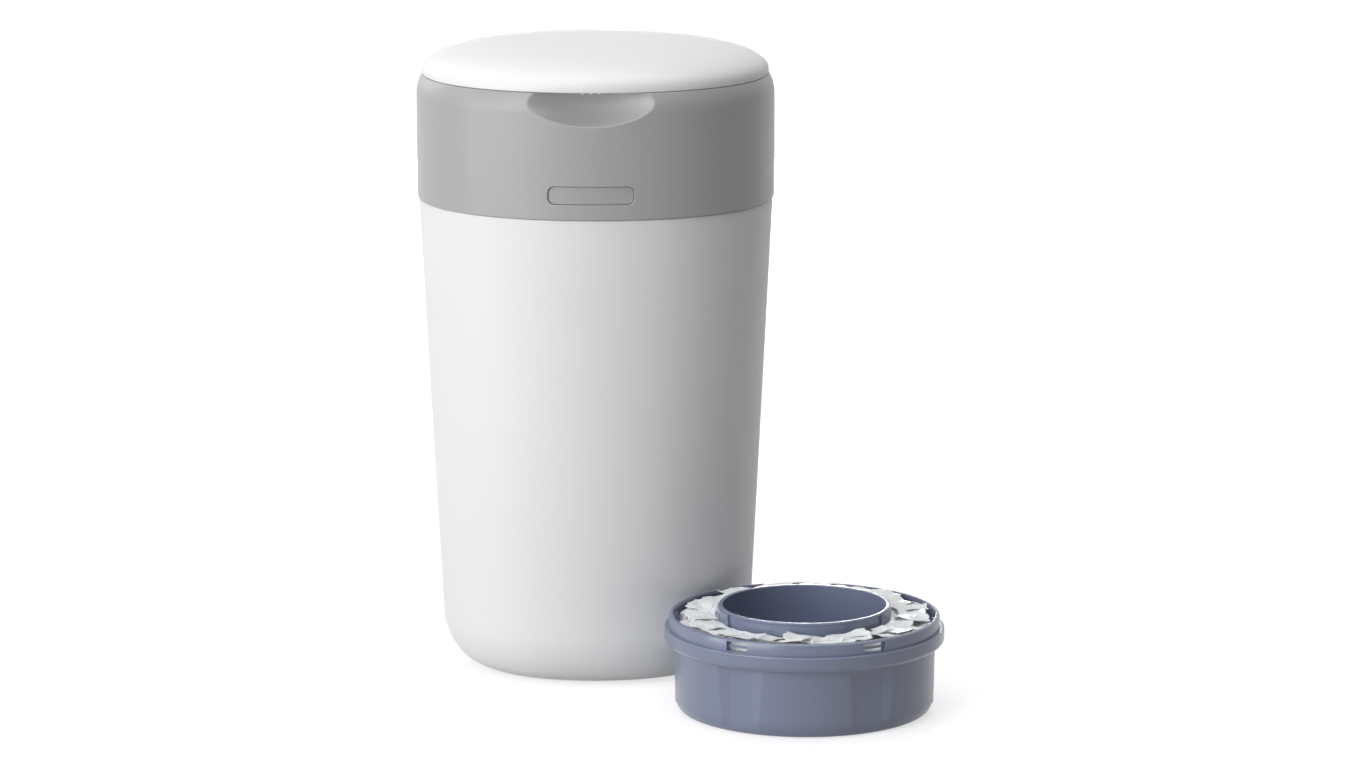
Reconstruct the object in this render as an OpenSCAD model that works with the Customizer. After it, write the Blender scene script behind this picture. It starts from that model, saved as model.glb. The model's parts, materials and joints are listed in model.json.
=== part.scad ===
// Nappy bin with a twisting film cassette, a hinged collar and a domed lid,
// and one spare cassette standing on the floor beside it.
// Millimetres. Origin on the floor at the bin's upright axis, front along -Y, +Z up.
// The plan outline is a soft square of eight tangent arcs. "Inset" is a distance
// measured inwards from that outline, so every tapered or offset wall keeps the
// same arc centres and stays a true cone. The arcs meet where a triangle of sides
// 7, 24 and 25 puts them, so every centre is a round number.

/* [Outline] */
// Half of the collar's width across its flat sides
half_w = 130.5; // [129:0.5:138]
// How square the plan outline is, where 0 would be a circle
squareness = 15; // [8:1:24]
// Wall of the tub and the collar
wall = 2.5; // [2:0.1:3]

/* [Tub] */
// Height of the tub's rim above the floor
tub_h = 345; // [300:5:400]
// Inset of the tub's rim from the collar's outline
tub_rim_inset = 1; // [0:0.1:1.5]
// Inset of the tub's wall at the crease above its foot
crease_inset = 16.5; // [10:0.5:20]
// Height of that crease
crease_z = 38.5; // [30:0.5:50]
// Inset of the flat foot
foot_inset = 46; // [38:1:50]
// Thickness of the tub's floor
floor_t = 3; // [2:0.5:5]

/* [Collar] */
// Height of the collar from the tub's rim to the lid seam
collar_h = 90; // [88:0.5:98]
// Height over which the shoulder rolls in below the seam
shoulder_h = 14.5; // [10:0.5:18]
// Inset of the outer edge at the seam
shoulder_inset = 4.2; // [2:0.1:5]
// Half length of the finger scoop's oval
scoop_half = 54; // [44:1:56]
// Radius of the scoop at its middle
scoop_r = 20; // [16:0.1:20.2]
// Radius of the scoop's rounded ends
scoop_end_r = 11; // [8:0.5:12]
// Distance from the seam down to the scoop's axis
scoop_drop = 3.5; // [3:0.5:7]
// Distance of the scoop's axis in front of the collar's front
scoop_out = 3; // [2.8:0.1:5]
// Wall of the scoop's bowl
scoop_wall = 2.2; // [1.6:0.1:2.4]

/* [Lid] */
// Height of the dome above its lower edge
dome_h = 24.6; // [18:0.2:28]
// How square the dome's side view is, 2 for an ellipse
dome_power = 2.7; // [2:0.1:3.2]
// Wall of the dome
dome_wall = 2.4; // [2:0.1:3]
// Open seam between the lid and the collar, and between the collar and the tub
seam_gap = 0.3; // [0.2:0.1:0.6]

/* [Latch] */
// Width of the pill-shaped release button
pill_w = 61.4; // [50:0.5:70]
// Height of the button
pill_h = 12.5; // [12:0.1:14]
// Radius of the button's corners
pill_corner_r = 4.7; // [3:0.1:5.5]
// Height of the button's middle above the tub's rim
pill_z = 17.8; // [16.5:0.1:20]
// Depth of the button's face below the collar's surface
pill_recess = 1.2; // [0.8:0.1:1.6]
// Gap all round the button and behind the collar's wall
pill_gap = 0.3; // [0.2:0.1:0.5]
// Travel of the button
latch_travel = 2.5; // [2.4:0.1:2.7]

/* [Cassette] */
// How far the gripping flange stands out beyond the wall
flange_out = 5.5; // [4:0.5:6]
// Height of the flange's underside
flange_z = 48.5; // [44:0.5:52]
// Height of the flange
flange_h = 11; // [9:0.5:12]
// Height of the lock ring above the flange
ring_h = 9.2; // [8.5:0.1:10]
// Width of the film's space between the wall and the central tube
film_room = 34; // [32:0.5:37]
// Height of the central tube
tube_h = 75; // [73:0.5:76]
// Wall of the cassette's mouldings
case_wall = 1.8; // [1.5:0.1:2]
// Number of grip flutes and of ring windows
flutes = 6; // [4:1:7]
// Depth of a flute at the top of the wall
flute_depth = 3.6; // [3.2:0.1:4]
// Half width of a flute's flat floor
flute_floor = 8.9; // [6:0.1:10]
// Width of a ring window
window_w = 17; // [10:0.5:20]

/* [Drive] */
// Number of ratchet teeth on the turntable
teeth = 24; // [24, 30, 36]
// Clearance between turning parts that face each other
run_gap = 0.3; // [0.25:0.05:0.4]
// Radial clearance of the pins and of the turntable's spigot in their bores
pin_gap = 0.05; // [0.03:0.01:0.08]
// Number of fingers on the film gripper
fingers = 12; // [8:1:16]
// Radius of the hole between the fingertips
finger_hole_r = 26; // [22:1:34]

/* [Hinges] */
// Radius of the collar's hinge pin
collar_pin_r = 2; // [1.5:0.1:2.5]
// Radius of the lid's hinge pin
lid_pin_r = 1.8; // [1.5:0.1:2]
// Half length of the collar hinge
collar_hinge_half = 36; // [30:1:38]
// Half length of the lid hinge
lid_hinge_half = 32; // [28:1:34]
// Half width of the middle knuckle of both hinges
knuckle_half = 18.6; // [12:0.2:22]

/* [Spare] */
// Clearance between the spare cassette's flange and the tub
spare_gap = 1.5; // [1:0.5:60]
// Direction in which it stands, in degrees from the bin's right towards its front
spare_bearing = 46.2; // [30:0.2:60]

/* [Hidden] */
$fn = 96;
eps = 1;

// Plan outline: bowed sides centred beyond the axis, corners centred on the diagonals.
// Two neighbouring arcs touch on a line that rises 7 in 24, which fixes the three factors.
slope_run = 24;
slope_rise = 7;
side_d = 1.7 * squareness;
side_r = half_w + side_d;
corner_c = 0.7 * squareness;
corner_r = half_w - 0.8 * squareness;
corner_reach = corner_c * sqrt(2) + corner_r;

// Heights of the stack inside the collar
deck_rise = 5;
deck_drop = 20;
deck_t = 3;
drum_h = 6;
gripper_t = 2.5;
ring_clear = 3.5;
twist_rim_h = 20.5;
bezel_drop = 6.5;
seam_z = tub_h + collar_h;
lid_z = seam_z + seam_gap;
deck_flange_z = tub_h + deck_rise;
deck_floor_z = tub_h - deck_drop;
drum_z = deck_floor_z - drum_h;
gripper_z = drum_z - gripper_t;
clamp_z = gripper_z - gripper_t;
turn_z = deck_floor_z + deck_t + run_gap;
cassette_z = turn_z + deck_t;
twist_z = cassette_z + flange_z + flange_h + ring_h + ring_clear;
bezel_rim_z = seam_z - bezel_drop;

// Radii of the cassette, of the rotating stack and of the deck round it
side_room = 34;
mouth_clear = 2.8;
cradle_wall = 2.5;
tooth_h = 4;
pawl_room = 10.5;
tray_wall = 2.5;
rim_wall = 2.5;
case_r = half_w - wall - side_room;
flange_r = case_r + flange_out;
tube_r = case_r - film_room;
spigot_r = tube_r + 6;
spigot_inner = tube_r + 1.8;
cradle_r = case_r + 1;
tooth_r = cradle_r + cradle_wall;
shroud_r = flange_r + 1.2;
mouth_r = shroud_r + cradle_wall + mouth_clear;
tray_r = tooth_r + tooth_h + pawl_room;
tray_outer = tray_r + tray_wall;
drum_r = spigot_r + 18;
clamp_r = drum_r - 2;
clamp_screw_r = spigot_r + 11;
clamp_screw_count = 6;

// Soft seal between the bezel's rim and the groove under the liner
seal_in = mouth_r - 1.5;
seal_out = mouth_r + rim_wall + 1;
seal_top = lid_z - 3.5;

// Screws and their towers on the diagonals of the collar
tower_r = 5.2;
tower_at = corner_reach - wall - 4;
screw_r = 1.5;
screw_head_r = 3.3;
screw_head_h = 2.2;
tower_screw_l = 13;
clamp_screw_l = 10;
thread_depth = 12;

// Hinge axes behind the collar and the knuckles round them
collar_hinge_y = half_w + 6;
collar_knuckle_r = collar_pin_r + 3;
lid_hinge_y = half_w + 5;
lid_hinge_z = seam_z - 3.5;
lid_knuckle_r = lid_pin_r + 2.5;
knuckle_gap = 0.4;
pin_head_gap = 0.2;
pin_head_t = 1.5;

// Latch: the tooth hooks under a keeper inside the tub's front wall
keeper_drop = 10.4;
keeper_z = tub_h - keeper_drop;
keeper_h = 3.4;
keeper_reach = 3;
tooth_grip = latch_travel - 0.5;
tooth_t = 4;
hook_z = keeper_z - run_gap;
tub_front = half_w - tub_inset(keeper_z) - wall;
arm_face = tub_front - keeper_reach - run_gap;
arm_t = 2.5;
arm_half = 9;
button_t = 2.5;
button_lip = 2;
bracket_h = 11;

// Pawl in the ring-shaped space between the ratchet and the tray
pitch = 360 / teeth;
tooth_gap_angle = 4;
tooth_slope = pitch - tooth_gap_angle;
pawl_boss_r = 4;
pawl_pivot = tray_r - pawl_boss_r - 0.7;
pawl_h = 6;
pawl_pin_r = 2;
pawl_reach = 14.8;
pawl_nose_in = 10.1;
pawl_rest_gap = 1;
pawl_lead = atan(pawl_reach / (pawl_pivot - pawl_nose_in)) + pawl_rest_gap;
pawl_angle = pawl_lead + pitch * round(15 / pitch);

// Film cutter under the deck
cutter_x = drum_r + 4;
cutter_w = 22;
cutter_h = 18;
cutter_t = 8;
slot_w = 3.6;
slot_end = 6;
blade_t = 0.6;
blade_room = 0.05;
blade_z = 4;
blade_h = 9;

// Cassette: turned details of its mouldings
foot_curl = 6;
flute_side_in = 3.8;
flute_side_run = 17.4;
window_sill = 0.7;
window_h = ring_h - 2.4;
tube_foot_w = 6;
tube_foot_t = 1.6;
film_gap = 0.5;

// Inset of the tub's outer wall at a height above the crease
function tub_inset(z) = tub_rim_inset
    + (crease_inset - tub_rim_inset) * (tub_h - z) / (tub_h - crease_z);

// Points from the foot up to the crease, an ellipse quadrant; t is the skin's depth
function foot_curve(t, base) = [
    for (u = [90 : -15 : 0]) [
        -(foot_inset - (foot_inset - crease_inset - t) * cos(u)),
        crease_z - (crease_z - base) * sin(u)
    ]
];

// Points of the shoulder's roll from the upright wall up to the seam
shoulder_turn = 2 * atan(shoulder_inset / shoulder_h);
shoulder_r = shoulder_h / sin(shoulder_turn);
function shoulder_curve() = [
    for (u = [0 : 0.25 : 1])
        let (a = u * shoulder_turn)
        [shoulder_r * (cos(a) - 1), seam_z - shoulder_h + shoulder_r * sin(a)]
];

// Points of the dome's side view from its edge to near the middle; t is the skin's depth
dome_reach = half_w - shoulder_inset;
dome_middle = 20;
function dome_curve(t) = [
    for (u = [0 : 1 / 9 : 1])
        let (
            edge = dome_reach - t,
            x = edge - (edge - dome_middle) * (1 - cos(90 * u)),
            z = (dome_h - t) * pow(1 - pow(x / edge, dome_power), 1 / dome_power)
        )
        [x - half_w, lid_z + z]
];
function reversed(list) = [for (i = [len(list) - 1 : -1 : 0]) list[i]];

// Carries a profile round the plan outline: x is minus the inset, y is the height.
// Each arc is a full turn of the profile, kept only inside its own wedge of the plan.
module arc_in_wedge(centre, radius, left, right) {
    far = 10;
    intersection() {
        translate(centre) rotate_extrude() translate([radius, 0]) children();
        translate([0, 0, -far]) linear_extrude(seam_z + dome_h + 2 * far)
            polygon([centre, centre + far * left, centre + far * (left + right),
                     centre + far * right]);
    }
}
module round_outline() {
    for (quarter = [0 : 3])
        rotate(90 * quarter) {
            arc_in_wedge([-side_d, 0], side_r,
                         [slope_run, -slope_rise], [slope_run, slope_rise]) children();
            arc_in_wedge([corner_c, corner_c], corner_r,
                         [slope_run, slope_rise], [slope_rise, slope_run]) children();
        }
}

// A flat frame whose outer edge follows the outline and whose hole is round
module outline_plate(inset, z, t, hole_r) {
    band = 45;
    difference() {
        round_outline() translate([-band, z]) square([band - inset, t]);
        translate([0, 0, z - eps]) cylinder(r = hole_r, h = t + 2 * eps);
    }
}

// A curved slice of the collar's front wall between two insets
module front_slice(outer, inner) {
    slice_h = 40;
    translate([0, side_d, tub_h]) difference() {
        cylinder(r = side_r - outer, h = slice_h);
        translate([0, 0, -eps]) cylinder(r = side_r - inner, h = slice_h + 2 * eps);
    }
}

// A prism with the button's rounded outline, grown all round, through the front wall
module pill_prism(grow) {
    depth = 12;
    w = pill_w + 2 * grow;
    h = pill_h + 2 * grow;
    r = pill_corner_r + grow;
    translate([0, -half_w + depth, tub_h + pill_z]) rotate([90, 0, 0])
        linear_extrude(2 * depth) {
            square([w, h - 2 * r], center = true);
            square([w - 2 * r, h], center = true);
            for (x = [-1, 1], y = [-1, 1]) translate([x * (w / 2 - r), y * (h / 2 - r)])
                circle(r = r, $fn = 48);
        }
}

// A rod along the X axis, given by its height and depth
module along_x(y, z, from, to, r) {
    translate([from, y, z]) rotate([0, 90, 0]) cylinder(r = r, h = to - from, $fn = 48);
}

// Extrudes a drawing in the Y-Z plane along X between two stations
module side_extrude(from, to) {
    translate([from, 0, 0]) rotate([90, 0, 90]) linear_extrude(to - from) children();
}

// The two outer knuckles of a hinge, which leave room for the middle one
module outer_knuckles(half) {
    inner = knuckle_half + knuckle_gap;
    side_extrude(inner, half) children();
    side_extrude(-half, -inner) children();
}

// Hinge pin with a flat head at its right end
module headed_pin(y, z, half, r, head_r) {
    color("silver") {
        along_x(y, z, -half - pin_head_t, half + pin_head_gap + eps, r);
        along_x(y, z, half + pin_head_gap, half + pin_head_gap + pin_head_t, head_r);
    }
}

// Repeats its children at the four screw towers
module at_towers() {
    for (corner = [0 : 3]) rotate(45 + 90 * corner) translate([tower_at, 0]) children();
}

// Repeats its children at the screws of the clamp ring
module at_clamp_screws() {
    for (k = [0 : clamp_screw_count - 1])
        rotate(360 / clamp_screw_count * k) translate([clamp_screw_r, 0]) children();
}

// Repeats its children in front of each flute, facing outwards
module at_flutes() {
    for (k = [0 : flutes - 1]) rotate(360 / flutes * (k + 0.5) - 90) children();
}

// A flat-headed screw standing on its head, shank upwards, and the bore for it
module screw(shank) {
    cylinder(r = screw_head_r, h = screw_head_h, $fn = 32);
    cylinder(r = screw_r, h = screw_head_h + shank, $fn = 24);
}
module screw_bore(depth) {
    cylinder(r = screw_r + pin_gap, h = depth, $fn = 24);
}

// A ring of rectangular section
module ring(inner, outer, z, h) {
    translate([0, 0, z]) difference() {
        cylinder(r = outer, h = h);
        translate([0, 0, -eps]) cylinder(r = inner, h = h + 2 * eps);
    }
}

// Tub: one tapered wall with a curved foot, its floor, hinge lugs and the latch keeper
module tub() {
    floor_lap = 15;
    lug_back = 12.5;
    lug_drop = 24;
    lug_top_drop = 6;
    keeper_side = 3;
    color("white") difference() {
        union() {
            round_outline() polygon(concat(
                foot_curve(0, 0),
                [[-tub_rim_inset, tub_h], [-tub_rim_inset - wall, tub_h]],
                reversed(foot_curve(wall, floor_t)),
                [[-foot_inset - floor_lap, floor_t], [-foot_inset - floor_lap, 0]]
            ));
            cylinder(r = half_w - foot_inset - floor_lap / 3, h = floor_t);
            outer_knuckles(collar_hinge_half) translate([collar_hinge_y, tub_h]) {
                circle(r = collar_knuckle_r, $fn = 48);
                polygon([[-collar_knuckle_r, 0], [0, -collar_knuckle_r],
                         [-lug_back, -lug_drop], [-lug_back, -lug_top_drop]]);
            }
            translate([-arm_half - keeper_side, -tub_front - eps, keeper_z])
                cube([2 * (arm_half + keeper_side), keeper_reach + eps, keeper_h]);
        }
        along_x(collar_hinge_y, tub_h, -collar_hinge_half - eps, collar_hinge_half + eps,
                collar_pin_r + pin_gap);
    }
}

// Steel pin through the tub's lugs and the collar's knuckle
module collar_hinge_pin() {
    headed_pin(collar_hinge_y, tub_h, collar_hinge_half, collar_pin_r, collar_pin_r + 1.2);
}

// The oval that fingers reach into, turned about a level line; grow adds its wall
module scoop_oval(grow) {
    flat_at = scoop_half - scoop_end_r;
    belly_r = (pow(flat_at, 2) + pow(scoop_r, 2) - pow(scoop_end_r, 2))
        / (2 * (scoop_r - scoop_end_r));
    belly_drop = belly_r - scoop_r;
    meet_x = flat_at * belly_r / (belly_r - scoop_end_r);
    translate([0, -half_w - scoop_out, seam_z - scoop_drop]) rotate([0, 90, 0]) rotate_extrude()
        rotate(90) intersection() {
            union() {
                for (side = [-1, 1])
                    translate([side * flat_at, 0]) circle(r = scoop_end_r + grow);
                intersection() {
                    translate([0, -belly_drop]) circle(r = belly_r + grow, $fn = 360);
                    translate([-meet_x, 0]) square([2 * meet_x, scoop_r + grow]);
                }
            }
            translate([-scoop_half - grow - eps, 0])
                square([2 * (scoop_half + grow + eps), scoop_r + grow + eps]);
        }
}

// Everything behind the middle of the collar's front wall and below the seam
module behind_front() {
    below = 40;
    translate([0, side_d, seam_z - below])
        cylinder(h = below - shoulder_h, r = side_r - wall / 2);
    translate([0, side_d, seam_z - shoulder_h])
        cylinder(h = shoulder_h, r1 = side_r - wall / 2, r2 = side_r - shoulder_inset - wall / 3);
}

// Collar: upright wall with a rolled shoulder, finger scoop, button slot,
// four screw towers, and the knuckles of both hinges
module collar_shell() {
    z0 = tub_h + seam_gap;
    tower_z = deck_flange_z + deck_t;
    web_back = 7.5;
    web_top = 22;
    lug_back = 10;
    lug_drop = 20;
    lug_top_drop = 8;
    color("darkgray") difference() {
        union() {
            difference() {
                union() {
                    round_outline() polygon(concat(
                        [[-wall, z0], [0, z0]],
                        shoulder_curve(),
                        reversed([for (p = shoulder_curve()) [p[0] - wall, p[1]]])
                    ));
                    intersection() {
                        scoop_oval(scoop_wall);
                        behind_front();
                    }
                }
                scoop_oval(0);
                intersection() {
                    pill_prism(pill_gap);
                    front_slice(-eps, wall + eps);
                }
            }
            at_towers() translate([0, 0, tower_z])
                cylinder(r = tower_r, h = twist_z - tower_z, $fn = 48);
            side_extrude(-knuckle_half, knuckle_half) translate([collar_hinge_y, tub_h]) {
                circle(r = collar_knuckle_r, $fn = 48);
                polygon([[-web_back, 1.5], [-3.5, 3], [3.5, 3.5], [-web_back, web_top]]);
            }
            outer_knuckles(lid_hinge_half) translate([lid_hinge_y, lid_hinge_z]) {
                circle(r = lid_knuckle_r, $fn = 48);
                polygon([[-lid_knuckle_r, 0], [0, -lid_knuckle_r],
                         [-lug_back, -lug_drop], [-lug_back, -lug_top_drop]]);
            }
        }
        along_x(collar_hinge_y, tub_h, -knuckle_half - eps, knuckle_half + eps,
                collar_pin_r + pin_gap);
        along_x(lid_hinge_y, lid_hinge_z, -lid_hinge_half - eps, lid_hinge_half + eps,
                lid_pin_r + pin_gap);
        at_towers() translate([0, 0, tower_z - eps]) screw_bore(thread_depth + eps);
        at_towers() translate([0, 0, twist_z - thread_depth]) screw_bore(thread_depth + eps);
    }
}

// Bezel: closes the space between the collar's wall and the round mouth
module mouth_bezel() {
    color("gainsboro") difference() {
        union() {
            outline_plate(wall + pill_gap, twist_z, deck_t, mouth_r);
            ring(mouth_r, mouth_r + rim_wall, twist_z, bezel_rim_z - twist_z);
        }
        at_towers() translate([0, 0, twist_z - eps]) screw_bore(deck_t + 2 * eps);
    }
}

module bezel_screws() {
    color("silver") at_towers()
        translate([0, 0, twist_z + deck_t + screw_head_h]) rotate([180, 0, 0])
            screw(tower_screw_l);
}

// Deck: a round tray hung in the collar, with the bearing for the turntable,
// the seat of the film gripper and the boss of the pawl
module mechanism_deck() {
    arm_room = 4;
    bearing_r = spigot_r + pin_gap;
    color("gainsboro") difference() {
        union() {
            outline_plate(wall + pill_gap, deck_flange_z, deck_t, tray_r);
            ring(tray_r, tray_outer, deck_floor_z, deck_flange_z + deck_t - deck_floor_z);
            ring(bearing_r, tray_outer, deck_floor_z, deck_t);
            ring(bearing_r, drum_r, drum_z, drum_h + deck_t);
        }
        at_towers() translate([0, 0, deck_flange_z - eps]) screw_bore(deck_t + 2 * eps);
        at_clamp_screws() translate([0, 0, drum_z - eps]) screw_bore(drum_h + eps);
        rotate(pawl_angle) translate([pawl_pivot, 0, deck_floor_z - eps])
            screw_bore(deck_t + 2 * eps);
        translate([-arm_half - arm_room, -half_w - eps, deck_flange_z - eps])
            cube([2 * (arm_half + arm_room), half_w - tray_outer - eps, deck_t + 2 * eps]);
    }
}

module deck_screws() {
    color("silver") at_towers()
        translate([0, 0, deck_flange_z - screw_head_h]) screw(tower_screw_l);
}

// Gripper: a springy disc cut into fingers that hold the twisted film
module film_gripper() {
    finger_gap = 3;
    slit_end = spigot_r - 8;
    color("dimgray") translate([0, 0, gripper_z]) linear_extrude(gripper_t) difference() {
        circle(r = clamp_r);
        circle(r = finger_hole_r);
        for (k = [0 : fingers - 1]) rotate(360 / fingers * (k + 0.5))
            translate([finger_hole_r - eps, -finger_gap / 2])
                square([slit_end - finger_hole_r + eps, finger_gap]);
        at_clamp_screws() circle(r = screw_r + pin_gap, $fn = 24);
    }
}

module gripper_clamp_ring() {
    color("gainsboro") difference() {
        ring(spigot_r, clamp_r, clamp_z, gripper_t);
        at_clamp_screws() translate([0, 0, clamp_z - eps]) screw_bore(gripper_t + 2 * eps);
    }
}

module clamp_screws() {
    color("silver") at_clamp_screws()
        translate([0, 0, clamp_z - screw_head_h]) screw(clamp_screw_l);
}

// Cutter: a guarded hook under the deck for cutting the film when the tub is emptied
module cutter_guard() {
    middle = cutter_w / 2;
    pocket_t = blade_t + 2 * blade_room;
    color("gainsboro") translate([cutter_x, cutter_t / 2, deck_floor_z]) rotate([90, 0, 0])
        difference() {
            linear_extrude(cutter_t) difference() {
                translate([0, -cutter_h]) square([cutter_w, cutter_h]);
                translate([middle - slot_w / 2, -cutter_h - eps])
                    square([slot_w, cutter_h - slot_end + eps]);
                translate([middle, -slot_end]) circle(d = slot_w, $fn = 24);
            }
            translate([blade_z, -blade_z - blade_h, (cutter_t - pocket_t) / 2])
                cube([cutter_w - 2 * blade_z, blade_h, pocket_t]);
        }
}

// Blade: its sloping edge crosses the guard's slot
module cutter_blade() {
    near = blade_z + 0.1;
    far = cutter_w - near;
    low = -blade_z - blade_h + 0.1;
    color("silver") translate([cutter_x, blade_t / 2, deck_floor_z]) rotate([90, 0, 0])
        linear_extrude(blade_t)
            polygon([[near, low], [2 * near, low], [far, -slot_end], [far, -near],
                     [cutter_w / 2 + 1, -near]]);
}

// Pawl: a small lever that clicks over the turntable's teeth
module click_pawl() {
    color("white") rotate(pawl_angle) translate([pawl_pivot, 0, turn_z]) difference() {
        linear_extrude(pawl_h) {
            circle(r = pawl_boss_r, $fn = 48);
            polygon([
                [-pawl_boss_r, 0], [-pawl_nose_in / 2, -pawl_reach / 2],
                [0.4 - pawl_nose_in, 2.5 - pawl_reach], [-pawl_nose_in, -pawl_reach],
                [6.3 - pawl_nose_in, -pawl_reach - 0.7], [-1.3, -10], [3.2, -2.4],
                [pawl_boss_r, 0]
            ]);
        }
        translate([0, 0, -eps]) cylinder(r = pawl_pin_r + pin_gap, h = pawl_h + 2 * eps, $fn = 48);
    }
}

// Shoulder screw that the pawl turns on
module pawl_screw() {
    shoulder = pawl_h + 2 * run_gap;
    color("silver") rotate(pawl_angle) translate([pawl_pivot, 0, deck_floor_z]) {
        cylinder(r = screw_r, h = deck_t + shoulder, $fn = 24);
        translate([0, 0, deck_t]) cylinder(r = pawl_pin_r, h = shoulder, $fn = 48);
        translate([0, 0, deck_t + shoulder]) cylinder(r = screw_head_r, h = screw_head_h, $fn = 32);
    }
}

// Release button: a curved pill in the collar's front with a hook down to the keeper
module latch_button() {
    top_z = tub_h + pill_z + pill_h / 2;
    bracket_y = -half_w + wall + button_t / 2;
    tooth_y = -tub_front + keeper_reach - tooth_grip;
    color("darkgray") {
        intersection() {
            pill_prism(0);
            front_slice(pill_recess, wall + button_t);
        }
        intersection() {
            pill_prism(button_lip);
            front_slice(wall + pill_gap, wall + button_t);
        }
        translate([-arm_half, bracket_y, top_z - bracket_h])
            cube([2 * arm_half, arm_t - arm_face - bracket_y, bracket_h]);
        translate([-arm_half, -arm_face, hook_z - tooth_t])
            cube([2 * arm_half, arm_t, top_z - hook_z + tooth_t]);
        translate([-arm_half, tooth_y, hook_z - tooth_t])
            cube([2 * arm_half, arm_t - arm_face - tooth_y, tooth_t]);
    }
}

// Leaf spring folded between the tray's wall and the latch arm
module latch_leaf_spring() {
    leaf_t = 0.4;
    leaf_half = 4;
    leaf_h = 14;
    leaf_rise = 12;
    back = -tray_outer - 0.2;
    reach = arm_t - arm_face + run_gap;
    leaf_z = 10;
    z = deck_floor_z + leaf_z;
    color("silver") side_extrude(-leaf_half, leaf_half)
        polygon([
            [back, z], [back, z + leaf_h], [back - leaf_t, z + leaf_h], [back - leaf_t, z + 1],
            [reach + leaf_t / 2, z + leaf_rise], [reach, z + leaf_rise - leaf_t],
            [back - leaf_t, z]
        ]);
}

// Lid: a shallow dome over the same outline, with its hinge knuckle behind
module lid_shell() {
    rim = dome_curve(0);
    skin = dome_curve(dome_wall);
    top = rim[len(rim) - 1][1];
    under = skin[len(skin) - 1][1];
    cap_lap = 6;
    web_back = 10.7;
    rise = lid_z - lid_hinge_z;
    color("white") difference() {
        union() {
            round_outline() polygon(concat(rim, reversed(skin)));
            translate([0, 0, under]) cylinder(r = dome_middle + cap_lap, h = top - under);
            side_extrude(-knuckle_half, knuckle_half) translate([lid_hinge_y, lid_hinge_z]) {
                circle(r = lid_knuckle_r, $fn = 48);
                polygon([[-web_back, rise], [1.9, rise], [-2, rise + 2.5],
                         [-web_back, rise + 4.8]]);
            }
        }
        along_x(lid_hinge_y, lid_hinge_z, -knuckle_half - eps, knuckle_half + eps,
                lid_pin_r + pin_gap);
    }
}

// Liner: closes the dome from below and carries the seal and three grip nubs
module lid_liner() {
    plate_t = 2.4;
    skin_gap = 1;
    rim_band = 44.5;
    disc_lap = 6;
    hole_r = half_w - rim_band;
    disc_r = hole_r + disc_lap;
    groove_h = lid_z - seal_top;
    nub_r = 0.9;
    nub_h = 1.5;
    nub_pitch = 6;
    nub_back = 1.8;
    inset = shoulder_inset + dome_wall + skin_gap;
    color("whitesmoke") {
        outline_plate(inset, lid_z, plate_t, hole_r);
        translate([0, 0, lid_z]) cylinder(r = disc_r, h = plate_t);
        ring(seal_in - 1, seal_out + 1, seal_top, groove_h);
        for (nub = [-1 : 1])
            translate([nub * nub_pitch, -half_w + inset + nub_back, lid_z - nub_h])
                cylinder(r = nub_r, h = nub_h, $fn = 24);
    }
}

// Soft ring under the liner that closes on the bezel's rim
module lid_seal() {
    low = bezel_rim_z + run_gap;
    color("dimgray") ring(seal_in, seal_out, low, seal_top - low);
}

module lid_hinge_pin() {
    headed_pin(lid_hinge_y, lid_hinge_z, lid_hinge_half, lid_pin_r, lid_pin_r + 1);
}

// Turntable: a stepped cup that carries the cassette, with a bearing spigot below
// and ratchet teeth round its foot
module turntable() {
    spigot_h = 8.3;
    shelf_t = 3;
    ratchet_h = 8;
    shelf_z = cassette_z + flange_z - run_gap;
    shroud_outer = shroud_r + cradle_wall;
    tooth_tip = tooth_r + tooth_h;
    tooth_root = tooth_r - eps;
    color("white") {
        rotate_extrude() polygon([
            [spigot_inner, turn_z - spigot_h], [spigot_r, turn_z - spigot_h], [spigot_r, turn_z],
            [tooth_r, turn_z], [tooth_r, shelf_z - shelf_t], [shroud_outer, shelf_z - shelf_t],
            [shroud_outer, twist_z], [shroud_r, twist_z], [shroud_r, shelf_z],
            [cradle_r, shelf_z], [cradle_r, cassette_z], [spigot_inner, cassette_z]
        ]);
        for (k = [0 : teeth - 1]) rotate(pitch * k) translate([0, 0, turn_z])
            linear_extrude(ratchet_h) polygon([
                [tooth_root, 0], [tooth_tip, 0],
                tooth_r * [cos(tooth_slope), -sin(tooth_slope)],
                tooth_root * [cos(tooth_slope), -sin(tooth_slope)]
            ]);
    }
}

// Twist ring: turned by its two grips, it drives the turntable and the film
module twist_ring() {
    floor_top = twist_z + deck_t;
    rim_top = twist_z + twist_rim_h;
    rim_out = mouth_r - 1.5;
    rim_in = rim_out - 3;
    skirt_out = shroud_r - run_gap;
    skirt_in = skirt_out - 2;
    skirt_h = 4;
    inner = tube_r + 4;
    grip_w = 12;
    grip_reach = 12;
    color("white") {
        rotate_extrude() polygon([
            [inner, twist_z + 0.8], [inner + 0.8, twist_z], [skirt_in, twist_z],
            [skirt_in, twist_z - skirt_h], [skirt_out, twist_z - skirt_h], [skirt_out, twist_z],
            [rim_out, twist_z], [rim_out, rim_top], [rim_in, rim_top], [rim_in, floor_top],
            [inner + 1, floor_top], [inner, floor_top - 1]
        ]);
        for (side = [0, 180]) rotate(side) translate([0, 0, floor_top])
            linear_extrude(rim_top - floor_top) {
                translate([rim_in - grip_reach, -grip_w / 2]) square([grip_reach + eps, grip_w]);
                translate([rim_in - grip_reach, 0]) circle(r = grip_w / 2, $fn = 48);
            }
    }
}

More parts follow.
